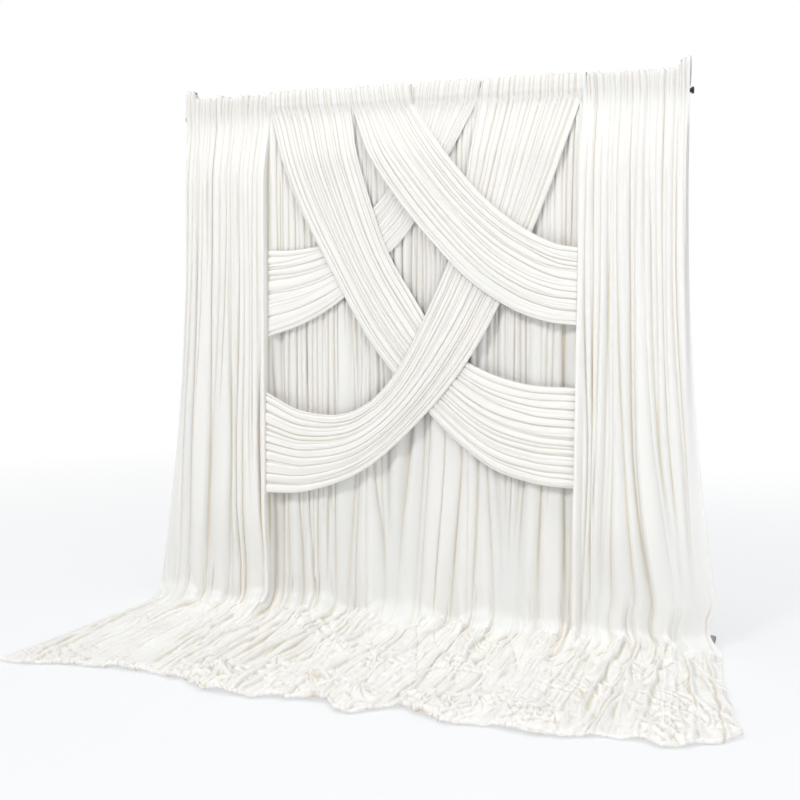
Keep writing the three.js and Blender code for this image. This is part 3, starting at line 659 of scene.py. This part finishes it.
def seam_edge(side, past):
    """An edge at the seam on one side of the middle, which goes past it by so much."""

    def edge(z, run):
        return side * width_third + past + wavy(run, seam_turns[side])

    return edge


backs = [
    drape("back_cloth_left", outer_edge(-1), seam_edge(-1, overlap), 101, 25, 222),
    drape(
        "back_cloth_middle", seam_edge(-1, -overlap), seam_edge(1, overlap), 202, 24, 210,
        over=(True, True),
    ),
    drape("back_cloth_right", seam_edge(1, -overlap), outer_edge(1), 303, 25, 222),
]

# %% [markdown]
# The side drapes hang further forward at their inner edges, which are turned back as a straight
# hem, so that the swags can end behind them. Their outer parts hang close to the posts and flare
# out more and more towards the floor.


# %% The two sides
def side_drape(name, side, seed):
    """The left drape is the right one's mirror in its edges, with folds of its own. The right one
    is drawn in a little at its foot, beside the corner of the plate that shows there."""

    def inner(z, run):
        """Straight down beside the opening, then straying over the floor."""
        return side * (opening_half + 0.002 - 0.02 * run + wavy(run, 8 + side))

    def outer(z, run):
        """Out from the post by the flare times a power of the way down, then to the train's side."""
        flare = (floor_half - header_half) * np.clip(1 - z / header_top, 0, 1) ** 2.4
        drawn_in = 0.058 * (side > 0) * ease((0.25 - z) / 0.13) * ease((z - 0.005) / 0.075)
        return side * between(header_half + flare - drawn_in, train_half - 0.004, run**2)

    return drape(name, inner, outer, seed, gathers=20, columns=234, side=side, over=(True, False))


side_left = side_drape("side_cloth_left", -1, 404)
side_right = side_drape("side_cloth_right", 1, 505)

# %% [markdown]
# A swag is a pleated band. Two smooth edges give its outline, and its pleats run from end to end
# between them. They crowd together where the band narrows, and fan out at its side end. The bands
# lie over one another, so each has a layer, and the lower left one climbs from the back to the
# third layer on its way. At the top the pleats go on over the seam and up over the pocket.

# %% Outlines of the swags
# Each point is a share of the opening's half width and of the seam's height.
swags = {
    "swag_upper_left": {
        "layers": (0, 0),
        "pleats": 16,
        "lower": [[0.37, 1], [0.21, 0.903], [0, 0.782], [-0.19, 0.714], [-0.48, 0.633],
                  [-0.74, 0.585], [-1, 0.556]],
        "upper": [[-0.03, 1], [-0.08, 0.9], [-0.2, 0.835], [-0.36, 0.785], [-0.6, 0.741],
                  [-0.82, 0.728], [-1, 0.728]],
    },
    "swag_lower_right": {
        "layers": (1, 1),
        "pleats": 21,
        "lower": [[-1, 1], [-0.8, 0.83], [-0.56, 0.69], [-0.27, 0.541], [0.1, 0.415],
                  [0.45, 0.325], [0.74, 0.294], [1, 0.287]],
        "upper": [[-0.45, 1], [-0.37, 0.895], [-0.2, 0.74], [-0.02, 0.643], [0.19, 0.551],
                  [0.42, 0.503], [0.7, 0.477], [1, 0.472]],
    },
    "swag_lower_left": {
        "layers": (0, 2),
        "pleats": 21,
        "lower": [[1, 1], [0.83, 0.84], [0.6, 0.667], [0.35, 0.52], [0.02, 0.395],
                  [-0.33, 0.3], [-0.7, 0.253], [-1, 0.244]],
        "upper": [[0.38, 1], [0.32, 0.87], [0.25, 0.74], [0.1, 0.62], [-0.15, 0.478],
                  [-0.42, 0.413], [-0.74, 0.412], [-1, 0.447]],
    },
    "swag_upper_right": {
        "layers": (1.1, 3),
        "pleats": 21,
        "lower": [[-0.44, 1], [-0.31, 0.91], [-0.13, 0.829], [0.11, 0.741], [0.36, 0.665],
                  [0.62, 0.614], [0.83, 0.592], [1, 0.586]],
        "upper": [[-0.04, 1], [0.06, 0.957], [0.24, 0.887], [0.42, 0.825], [0.6, 0.778],
                  [0.76, 0.748], [0.88, 0.732], [1, 0.725]],
    },
}

# %% One swag
# From layer to layer, the room for pleats, the gap to the cloth behind, and the share of the way
# at which a swag has come to its last layer.
layer_pitch, swag_depth, layer_gap, settled = 0.0145, 0.014, 0.0005, 0.4
swag_steps, swag_columns, over_seam = 190, 150, 14


def above_seam(edge, rise):
    """An edge with points before it that go on up over the pocket, leaning a little the same way."""
    step = edge[0] - edge[1]
    slope = np.clip(0.7 * step[0] / step[1], -0.16, 0.16) * (abs(edge[0, 0]) < opening_half - 0.01)
    return np.concatenate([edge[0] + np.concatenate([rise * slope, rise], axis=1), edge])


def over_pocket(x, outline, offset):
    """(forward, up) of cloth that lies over the pocket, at an offset from its outline."""
    up = seam_z + outline[:, 1:] * (header_top - ruffle_room + ruffle(x) - seam_z)
    return pushed_out(np.stack([0 * up - outline[:, :1] * pocket_half, up], axis=-1), offset)


def pleat_depth(across, width, along, pleats, rng, seed):
    """How deep the pleats are at each row and column: valleys from end to end, and finer ones that
    come and go between them."""
    on = along[:, None]
    start = uneven_lines(pleats, 0.65, rng)
    wander = wandering(along, 3, 9, pleats, 61, seed)
    lines = start + 0.45 / pleats * (wander - wander[:1])
    pleat = width / pleats
    strength = 0.45 + 1.1 * rng.random(pleats)
    weak = rng.random(pleats) < 0.35
    soften = 1 - 0.85 * weak * ease((on - rng.uniform(0.2, 0.6, pleats)) / 0.3)
    ending = ease((on - 0.955) / 0.045)
    depths = 0.0120 * strength * soften * (1 + 0.8 * ending)
    widths = 0.13 * pleat * rng.uniform(0.6, 1.5, pleats)
    sunk = valleys(across, lines * width, depths, widths)

    count = 2 * pleats
    fine = uneven_lines(count, 0.8, rng)
    born, gone = rng.uniform(-0.6, 0.6, count), rng.uniform(0.2, 1.5, count)
    lasting = ease((on - born) / 0.1) * ease((gone - on) / 0.1)
    lines = fine + 0.35 / pleats * hills(on * 4 + fine * 50, fine * 80, 63)
    depths = 0.0045 * (2 - ease(on / 0.4)) * rng.random(count) * lasting
    sunk = sunk + valleys(across, lines * width, depths, 0.08 * pleat * np.ones(count))
    return sunk + 0.0022 * (1 + hills(across / 0.05, on * 9, 62 + seed))


def swag(name, layers, pleats, lower, upper, seed):
    """A band whose columns run from its lower edge to its upper one. It stands before the back by
    its layer, less the depth of its pleats, and close to the seam at its top."""
    scale = np.array([opening_half, seam_z - seam_gap])
    along = np.linspace(0, 1, swag_steps)
    outline = smooth_line(pocket_shares[5:], np.linspace(0, 1, over_seam, endpoint=False))
    rise = outline[:, 1:] * (header_top - seam_z)
    low = above_seam(smooth_line(np.array(lower) * scale, along), rise)
    high = above_seam(smooth_line(np.array(upper) * scale, along), rise)
    along = np.concatenate([np.zeros(over_seam), along])
    share = np.linspace(0, 1, swag_columns)[None, :]
    x = between(low[:, :1], high[:, :1], share)
    z = between(low[:, 1:], high[:, 1:], share)
    width = np.linalg.norm(high - low, axis=1)[:, None]
    across = share * width

    limit = swag_depth - 0.0015
    sunk = pleat_depth(across, width, along, pleats, np.random.default_rng(seed), seed)
    sunk = limit * np.tanh((sunk + 1.1 * limit * at_edges(across, width, 0.006)) / limit)
    layer = between(*layers, np.minimum(1, along / settled))[:, None]
    lean = lean_at_floor * (1 - z / header_top)
    stand = back_front + lean + layer_gap + swag_depth + layer * layer_pitch
    near_seam = 1 - ease((seam_z - z) / 0.32)
    stand = between(stand, seam_front + 0.0065, near_seam)
    forward = stand - sunk * (1 - 0.6 * near_seam)

    # Over the pocket it follows the outline there, with its edges and its end tucked in.
    row = np.arange(len(along))[:, None]
    tucked = np.minimum(1.2, at_edges(across, width, 0.014) + 1.8 * np.exp(-row / 1.2))
    offset = 0.0115 - 0.5 * sunk - 0.012 * tucked * ease((z - seam_z + 0.01) / 0.03)
    pocket = over_pocket(x[:over_seam], outline, offset[:over_seam])
    forward[:over_seam], z[:over_seam] = pocket[..., 0], pocket[..., 1]

    # Painted shade in the creases and deep between the pleats, and more of it over the pocket.
    fold = creases(-sunk, 16, 0, 0.0045)
    fold[:over_seam] **= 0.7
    hollow = 0.4 * sunk / limit
    hollow[:over_seam] = 0.5 + 0.5 * hollow[:over_seam]
    points = np.stack([x, bar_y - forward, z], axis=-1)
    mirrored = low[0, 0] > high[0, 0]
    return cloth_piece(name + "_cloth", points, mirrored, fold=fold, hollow=hollow, lying=0 * sunk)


swag_cloths = {
    name: swag(name, seed=70 + k, **facts) for k, (name, facts) in enumerate(swags.items())
}

# %% [markdown]
# Shader maths reads best as a sum. This class holds one socket of a node tree, and the usual signs
# add the Math nodes. Everything else comes from one method, which adds any node.


# %% Sockets that can be added and multiplied
def both_ways(operation):
    """The methods for a sign with the wire on its left, and with the wire on its right."""

    def left(self, other):
        return self.math(operation, self, other)

    def right(self, other):
        return self.math(operation, other, self)

    return left, right


class Wire:
    """An output socket. 1 - wire * 0.5 adds the Math nodes for that sum."""

    __add__, __radd__ = both_ways("ADD")
    __sub__, __rsub__ = both_ways("SUBTRACT")
    __mul__, __rmul__ = both_ways("MULTIPLY")
    __pow__, __rpow__ = both_ways("POWER")

    def __init__(self, tree, socket=None):
        self.tree = tree
        self.socket = socket

    def node(self, kind, settings=None, sockets=None, out=0):
        """Adds a node, sets its settings, fills its sockets and returns an output."""
        made = self.tree.nodes.new(kind)
        for name, value in (settings or {}).items():
            setattr(made, name, value)
        for name, value in (sockets or {}).items():
            if isinstance(value, Wire):
                self.tree.links.new(value.socket, made.inputs[name])
            else:
                made.inputs[name].default_value = value
        return Wire(self.tree, made.outputs[out])

    def beside(self, name):
        """Another output of the node that this one comes from."""
        return Wire(self.tree, self.socket.node.outputs[name])

    def math(self, operation, *values):
        """A Math node on the values, or on this wire alone."""
        sockets = dict(enumerate(values or (self,)))
        return self.node("ShaderNodeMath", {"operation": operation}, sockets)

    def colours(self, first, second):
        """A colour this share of the way from the first to the second."""
        mixed = {0: self, 6: first, 7: second}
        return self.node("ShaderNodeMix", {"data_type": "RGBA"}, mixed, out=2)

    def noise(self, place, scale, detail=2.0, roughness=0.5):
        """Noise from 0 to 1 over a place, with so many bumps to the metre."""
        sockets = {"Vector": place, "Scale": scale, "Detail": detail, "Roughness": roughness}
        return self.node("ShaderNodeTexNoise", None, sockets)

    def stretched(self, place, scale, turned=0.0):
        """The place turned round z and then scaled, for a pattern that is longer one way."""
        sockets = {"Vector": place, "Angle": turned}
        place = self.node("ShaderNodeVectorRotate", {"rotation_type": "Z_AXIS"}, sockets)
        return self.node("ShaderNodeMapping", None, {"Vector": place, "Scale": scale})

    def thin_lines(self, place, scale, turned, sharpness):
        """1 along the lines where a stretched noise is at its middle, falling to 0 beside them."""
        away = self.noise(self.stretched(place, scale, turned), 1.0) - 0.5
        return (1 - away.math("ABSOLUTE") * sharpness).clipped()

    def clipped(self):
        """The value held between 0 and 1."""
        return self.node("ShaderNodeClamp", None, {0: self})


def new_finish(name, roughness, metallic=0.0, **fixed):
    """A material with one Principled shader. Returns it, its start wire and its shader node."""
    material = bpy.data.materials.new(name)
    material.use_nodes = True
    tree = material.node_tree
    shader = tree.nodes["Principled BSDF"]
    shader.inputs["Roughness"].default_value = roughness
    shader.inputs["Metallic"].default_value = metallic
    for socket, value in fixed.items():
        shader.inputs[socket.replace("_", " ")].default_value = value
    return material, Wire(tree), shader


def feed(wire, shader, **sockets):
    """Links wires to the shader's sockets by name."""
    for name, value in sockets.items():
        wire.tree.links.new(value.socket, shader.inputs[name.replace("_", " ")])


def bumped(wire, height, distance, strength=1.0):
    """A normal from a height that is given in shares of a distance in metres."""
    sockets = {"Height": height, "Distance": distance, "Strength": strength}
    return wire.node("ShaderNodeBump", None, sockets)


# %% [markdown]
# The cloth is a thin matt knit. Close to, it has fine ribs a millimetre apart and small creases
# along its length. It is off-white and slightly uneven all over. Shade and light are painted into
# its colour: a darker, warmer shade in the creases, for light that has passed through the cloth
# more than once, a darker grey shade deep between the folds, and a paler tone where it lies on the
# bright floor, for the light that the floor throws back.

# %% Cloth finish
# Off-white, painted shade between folds, painted crease shade, and painted light from the floor.
cream = (0.875, 0.862, 0.828, 1)
hollow_shade_colour = (0.770, 0.777, 0.772, 1)
crease_shade_colour = (0.660, 0.600, 0.500, 1)
pale = (0.890, 0.887, 0.874, 1)
rib_pitch, stitch_pitch, relief = 0.0011, 0.0016, 0.0024


def cloth_finish():
    """Its colour holds painted shade where a point is deep or creased, and painted floor light where it
    lies on the floor. Its relief is the sum of small creases, ribs crossed by stitches, and thin
    lines where it lies on the floor."""
    material, wire, shader = new_finish(
        "white stretch cloth", 0.82, Sheen_Weight=0.25, Sheen_Roughness=0.45, Specular_IOR_Level=0.25
    )
    flat = wire.node("ShaderNodeUVMap", {"uv_map": "flat"})
    u = wire.node("ShaderNodeSeparateXYZ", None, {0: flat})
    rib = (u * (2 * math.pi / rib_pitch)).math("SINE")
    stitch = (u.beside("Y") * (2 * math.pi / stitch_pitch)).math("SINE")
    crinkles = wire.noise(wire.stretched(flat, (55.0, 9.0, 1.0)), 1.0, 3.0, 0.55)
    mottled = wire.noise(wire.stretched(flat, (7.0, 3.0, 1.0)), 1.0)
    fold, hollow, lying = (
        wire.node("ShaderNodeAttribute", {"attribute_name": name}, out=2)
        for name in ("fold", "hollow", "lying")
    )
    long_lines = wire.thin_lines(flat, (16.0, 1.2, 1.0), 0.0, 50.0)
    skew_lines = wire.thin_lines(flat, (11.0, 1.8, 1.0), 0.6, 55.0)
    other_lines = wire.thin_lines(flat, (10.0, 2.0, 1.0), -0.7, 55.0)
    # Thin lines where the cloth lies on the floor: relief, and painted shade along them.
    crumple_relief_and_shade = (long_lines + skew_lines * 0.6 + other_lines * 0.6) * lying
    # Painted shade deep between the folds, with random mottling; painted floor light where it lies.
    tone = (hollow * 0.7 + mottled * 0.3 - 0.1).colours(cream, hollow_shade_colour)
    tone = (lying**2 * 0.6).colours(tone, pale)
    # The base colour darkens to the painted crease shade in creases and along the thin lines.
    feed(
        wire, shader,
        Base_Color=(fold + crumple_relief_and_shade * 0.12).clipped().colours(tone, crease_shade_colour),
        Roughness=0.74 + crinkles * 0.16,
        Normal=bumped(wire, crinkles + (rib * stitch) * 0.03 - crumple_relief_and_shade * 0.9, relief, 0.7),
    )
    return material


cloth = cloth_finish()
print("cloth finish:", len(cloth.node_tree.nodes), "nodes")

# %% [markdown]
# The stand is plain event hardware. Its plates have a black powder coat with a fine grain, its
# tubes a smoother black with faint marks along them where one has slid in the other, and its
# collars and knobs are moulded plastic. Screws are bright zinc, the joiners inside the bar are
# bare aluminium, the feet are rubber and the guide bushes nylon.


# %% Hardware finishes
def grained(name, dark, light, roughness, spread, grain, metallic=0.0, stretch=(1, 1, 1), bump=2e-4):
    """A finish whose colour, roughness and relief all follow one noise over the piece's place."""
    material, wire, shader = new_finish(name, roughness, metallic)
    place = wire.node("ShaderNodeTexCoord", out=3)
    drawn = wire.stretched(place, stretch)
    fine = wire.noise(drawn, grain, 3.0, 0.6)
    wide = wire.noise(drawn, grain / 25)
    worn = wire.node("ShaderNodeMapRange", None, {0: wide, 1: 0.45, 2: 0.75})
    feed(
        wire, shader,
        Base_Color=(worn * 0.8 + fine * 0.2).colours((*dark, 1), (*light, 1)),
        Roughness=roughness - spread / 2 + (fine * 0.5 + wide * 0.5) * spread,
        Normal=bumped(wire, fine, bump),
    )
    return material


finishes = {
    "base_plate_paint": grained(
        "plate powder coat", (0.012, 0.012, 0.013), (0.030, 0.030, 0.032), 0.48, 0.22, 900, 0.1
    ),
    "black_tube": grained(
        "black anodised tube", (0.010, 0.010, 0.011), (0.032, 0.032, 0.034), 0.36, 0.2, 260, 0.55,
        (1, 1, 0.02), 6e-5,
    ),
    "black_plastic": grained(
        "black moulded plastic", (0.010, 0.010, 0.010), (0.024, 0.024, 0.025), 0.5, 0.2, 1500
    ),
    "black_rubber": grained(
        "black rubber", (0.014, 0.014, 0.014), (0.036, 0.035, 0.034), 0.86, 0.12, 700, bump=3e-4
    ),
    "zinc_steel": grained(
        "bright zinc", (0.50, 0.51, 0.53), (0.66, 0.67, 0.68), 0.30, 0.18, 500, 1.0, bump=4e-5
    ),
    "bare_aluminium": grained(
        "bare aluminium", (0.60, 0.61, 0.62), (0.74, 0.75, 0.76), 0.34, 0.2, 400, 1.0,
        (0.03, 1, 1), 5e-5,
    ),
    "nylon": grained(
        "natural nylon", (0.62, 0.60, 0.54), (0.74, 0.72, 0.66), 0.55, 0.15, 300, bump=8e-5
    ),
}
print(len(finishes), "hardware finishes")

# %% [markdown]
# The imported hardware keeps its meshes. Three live modifiers make them look turned and pressed
# rather than faceted: Weld joins their loose triangles, Bevel breaks the sharp edges, and Edge
# Split keeps the flats flat while round walls are shaded smooth.


# %% Which finish each imported node gets
# The first word that is found in a node's name gives the name of the finish that it gets.
slot_words = {
    "base_plate": "base_plate_paint", "base_spigot": "base_plate_paint",
    "rubber_foot": "black_rubber", "stud": "zinc_steel", "bolt": "zinc_steel",
    "snap_button": "zinc_steel", "joiner": "bare_aluminium", "guide_bush": "nylon",
    "tube": "black_tube", "bracket": "black_tube", "crossbar_section": "black_tube",
    "collar": "black_plastic", "post_cap": "black_plastic",
}
wide_bevel, fine_bevel = 0.0006, 0.0003


def dress(node):
    """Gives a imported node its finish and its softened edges."""
    slot = next(slot for word, slot in slot_words.items() if word in node)
    piece = frame["nodes"][node]
    piece.data.materials.clear()
    piece.data.materials.append(finishes[slot])
    piece.data.polygons.foreach_set("use_smooth", np.ones(len(piece.data.polygons), bool))
    weld = piece.modifiers.new("join triangles", "WELD")
    weld.merge_threshold = 1e-5
    rounding = piece.modifiers.new("soft edges", "BEVEL")
    rounding.width = wide_bevel if "plate" in node or "bracket" in node else fine_bevel
    rounding.segments = 2
    rounding.limit_method = "ANGLE"
    rounding.angle_limit = math.radians(40)
    split = piece.modifiers.new("flats", "EDGE_SPLIT")
    split.split_angle = math.radians(38)


cloth_nodes = {
    "back_drape", "side_drape_left", "side_drape_right", "train_left", "train_centre",
    "train_right", *swags,
}
grips = sorted(node for node in frame["nodes"] if node.endswith("_grip"))
hardware = sorted(set(frame["nodes"]) - cloth_nodes - set(grips))
for node in hardware:
    dress(node)
print(len(hardware), "packed pieces dressed")

# %% [markdown]
# A star grip is moulded, so its lobes and its rim are round. It is a profile from the face's
# middle, over the rim and down to the back, carried round a circle whose radius swells five times.


# %% Star grips
# From the face's middle to the back's: shares of the radius, and of the half thickness.
grip_profile = np.array([
    [0.0, 0.72], [0.34, 0.72], [0.44, 0.8], [0.5, 0.97], [0.56, 1.0], [0.8, 1.0], [0.92, 0.94],
    [0.985, 0.78], [1.0, 0.5], [1.0, -0.5], [0.985, -0.78], [0.92, -0.94], [0.8, -1.0],
    [0.45, -1.0], [0.0, -1.0],
])
lobe_count, lobe_depth, grip_rings, grip_sides = 5, 0.14, 43, 120


def closed_shell(name, points):
    """A piece from rings of points, the first and last at a pole, with its faces turned outwards."""
    rows, columns = points.shape[:2]
    index = np.arange(rows * columns).reshape(rows, columns)
    beside = np.roll(index, -1, axis=1)
    quads = np.stack([index[:-1], beside[:-1], beside[1:], index[1:]], axis=-1).reshape(-1, 4)
    mesh = bpy.data.meshes.new(name)
    mesh.from_pydata(points.reshape(-1, 3).tolist(), [], quads.tolist())
    shell = bmesh.new()
    shell.from_mesh(mesh)
    bmesh.ops.remove_doubles(shell, verts=shell.verts, dist=1e-6)
    bmesh.ops.recalc_face_normals(shell, faces=shell.faces)
    for face in shell.faces:
        face.smooth = True
    shell.to_mesh(mesh)
    shell.free()
    return add_object(name, mesh)


def star_grip(node):
    """Rings of points: radius = profile · (1 - lobe/2 + lobe/2 · cos 5a), closed at both poles."""
    low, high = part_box(node)
    middle, sizes = (low + high) / 2, high - low
    axis = min(range(3), key=lambda k: sizes[k])
    first, second = (k for k in range(3) if k != axis)
    outward = 1.0 if middle[axis] > (bar_y if axis == 1 else 0) else -1.0
    path = smooth_line(grip_profile, np.linspace(0, 1, grip_rings))
    angle = np.linspace(0, 2 * np.pi, grip_sides, endpoint=False)
    reach = np.clip(path[:, :1], 0, 1)
    lobe = lobe_depth * ease((reach - 0.35) / 0.6)
    ring = max(sizes) / 2 * reach * (1 - lobe / 2 + lobe / 2 * np.cos(lobe_count * angle)[None, :])
    points = np.zeros((*ring.shape, 3))
    points[..., first] = ring * np.cos(angle) + middle[first]
    points[..., second] = ring * np.sin(angle) + middle[second]
    points[..., axis] = outward * (sizes[axis] / 2) * np.clip(path[:, 1:], -1, 1) + middle[axis]
    piece = closed_shell(node + "_moulded", points)
    piece.data.materials.append(finishes["black_plastic"])
    bodies = frame["record"]["behaviour"]["bodies"]
    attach(piece, next(name for name, nodes in bodies.items() if node in nodes))
    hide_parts(node)


for node in grips:
    star_grip(node)
print(len(grips), "star grips")

# %% [markdown]
# The cloth crosses the one joint that matters here: its foot lies on the floor with the stand, and
# its head rides on the crossbar. Each cloth gets its finish here, and the imported nodes that stood
# for it are hidden.


def hang(piece, nodes):
    """Gives the cloth its finish, bakes its place into its points, and hides the imported nodes."""
    piece.data.materials.append(cloth)
    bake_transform(piece)
    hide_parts(*nodes)


for piece in backs:
    hang(piece, ["back_drape", "train_centre"])
hang(side_left, ["side_drape_left", "train_left"])
hang(side_right, ["side_drape_right", "train_right"])
for name, piece in swag_cloths.items():
    hang(piece, [name])
print(len(backs) + 2 + len(swag_cloths), "cloths hang from the crossbar")

# %% [markdown]
# The studio is a pale floor that runs into a white background. The floor takes the cloth's soft
# shadow. A part of what the camera sees of it is its own light, so that it reads as white without
# more light on the cloth. That light is a little cool near the cloth and white far away, where it
# also takes over the whole floor.


# %% Floor and background
def seen_rays(wire):
    """1 for what the camera sees, straight, in a reflection or through glass, and 0 elsewhere."""
    camera_ray = wire.node("ShaderNodeLightPath")
    total = camera_ray + camera_ray.beside("Is Glossy Ray") + camera_ray.beside("Is Transmission Ray")
    return total.math("MINIMUM", total, 1.0)


cool_until, white_from, own_light = 2.2, 8.0, 0.72


def floor_finish():
    """The pale floor with its own light mixed in, by a share that grows to 1 far away."""
    material, wire, shader = new_finish("pale floor", 0.9, Base_Color=(0.93, 0.935, 0.95, 1))
    place = wire.node("ShaderNodeTexCoord", out=3)
    away = wire.node("ShaderNodeVectorMath", {"operation": "LENGTH"}, {0: place}, out=1)
    far = wire.node("ShaderNodeMapRange", None, {0: away, 1: cool_until, 2: white_from})
    near_light, far_light = (
        wire.node("ShaderNodeEmission", None, {"Color": (*colour, 1), "Strength": 1.0})
        for colour in ((0.925, 0.935, 0.945), (1, 1, 1))
    )
    glow = wire.node("ShaderNodeMixShader", None, {0: far, 1: near_light, 2: far_light})
    surface = Wire(wire.tree, shader.outputs[0])
    share = seen_rays(wire) * (own_light + far * (1 - own_light))
    mixed = wire.node("ShaderNodeMixShader", None, {0: share, 1: surface, 2: glow})
    wire.tree.links.new(mixed.socket, wire.tree.nodes["Material Output"].inputs["Surface"])
    return material


floor_mesh = bpy.data.meshes.new("floor")
half = 60.0
floor_corners = [(-half, -half, 0), (half, -half, 0), (half, half, 0), (-half, half, 0)]
floor_mesh.from_pydata(floor_corners, [], [(0, 1, 2, 3)])
floor_mesh.materials.append(floor_finish())
floor = add_object("floor", floor_mesh)

world = bpy.data.worlds.new("studio")
world.use_nodes = True
scene.world = world
sky = Wire(world.node_tree)
ambient = sky.node("ShaderNodeBackground", None, {"Color": (0.93, 0.96, 1.0, 1), "Strength": 0.36})
backdrop = sky.node("ShaderNodeBackground", None, {"Color": (1, 1, 1, 1), "Strength": 1.0})
both = sky.node("ShaderNodeMixShader", None, {0: seen_rays(sky), 1: ambient, 2: backdrop})
world.node_tree.links.new(both.socket, world.node_tree.nodes["World Output"].inputs["Surface"])
print("floor", 2 * half, "m wide")

# %% [markdown]
# Four soft lamps light the cloth. The key stands in front, on the left and high up, and models the
# vertical folds. A weaker one fills from the right, one from straight above lights the train, and a
# low one lights the back.


# %% Lamps
def soft_lamp(name, place, target, size, power, colour):
    """A square area lamp at a place, turned to its target, which no picture shows."""
    lamp = add_object(name, bpy.data.lights.new(name, "AREA"))
    lamp.data.size = size
    lamp.data.energy = power
    lamp.data.color = colour
    lamp.location = place
    lamp.visible_camera = False
    lamp.rotation_euler = (Vector(target) - Vector(place)).to_track_quat("-Z", "Y").to_euler()


aim = (0.0, bar_y - 0.2, 1.3)
soft_lamp("key", (-4.6, bar_y - 12.0, 10.6), aim, 3.0, 950, (1.0, 0.985, 0.96))
soft_lamp("fill", (5.2, bar_y - 4.6, 2.6), aim, 3.0, 95, (0.95, 0.975, 1.0))
soft_lamp("overhead", (0.2, bar_y - 2.6, 16.0), (0.0, bar_y - 0.9, 0.0), 3.6, 880, (1.0, 0.995, 0.99))
soft_lamp("back", (0.5, bar_y + 7.5, 1.6), (0.0, bar_y, 1.6), 3.0, 90, (0.97, 0.985, 1.0))
scene.view_settings.view_transform = "Standard"
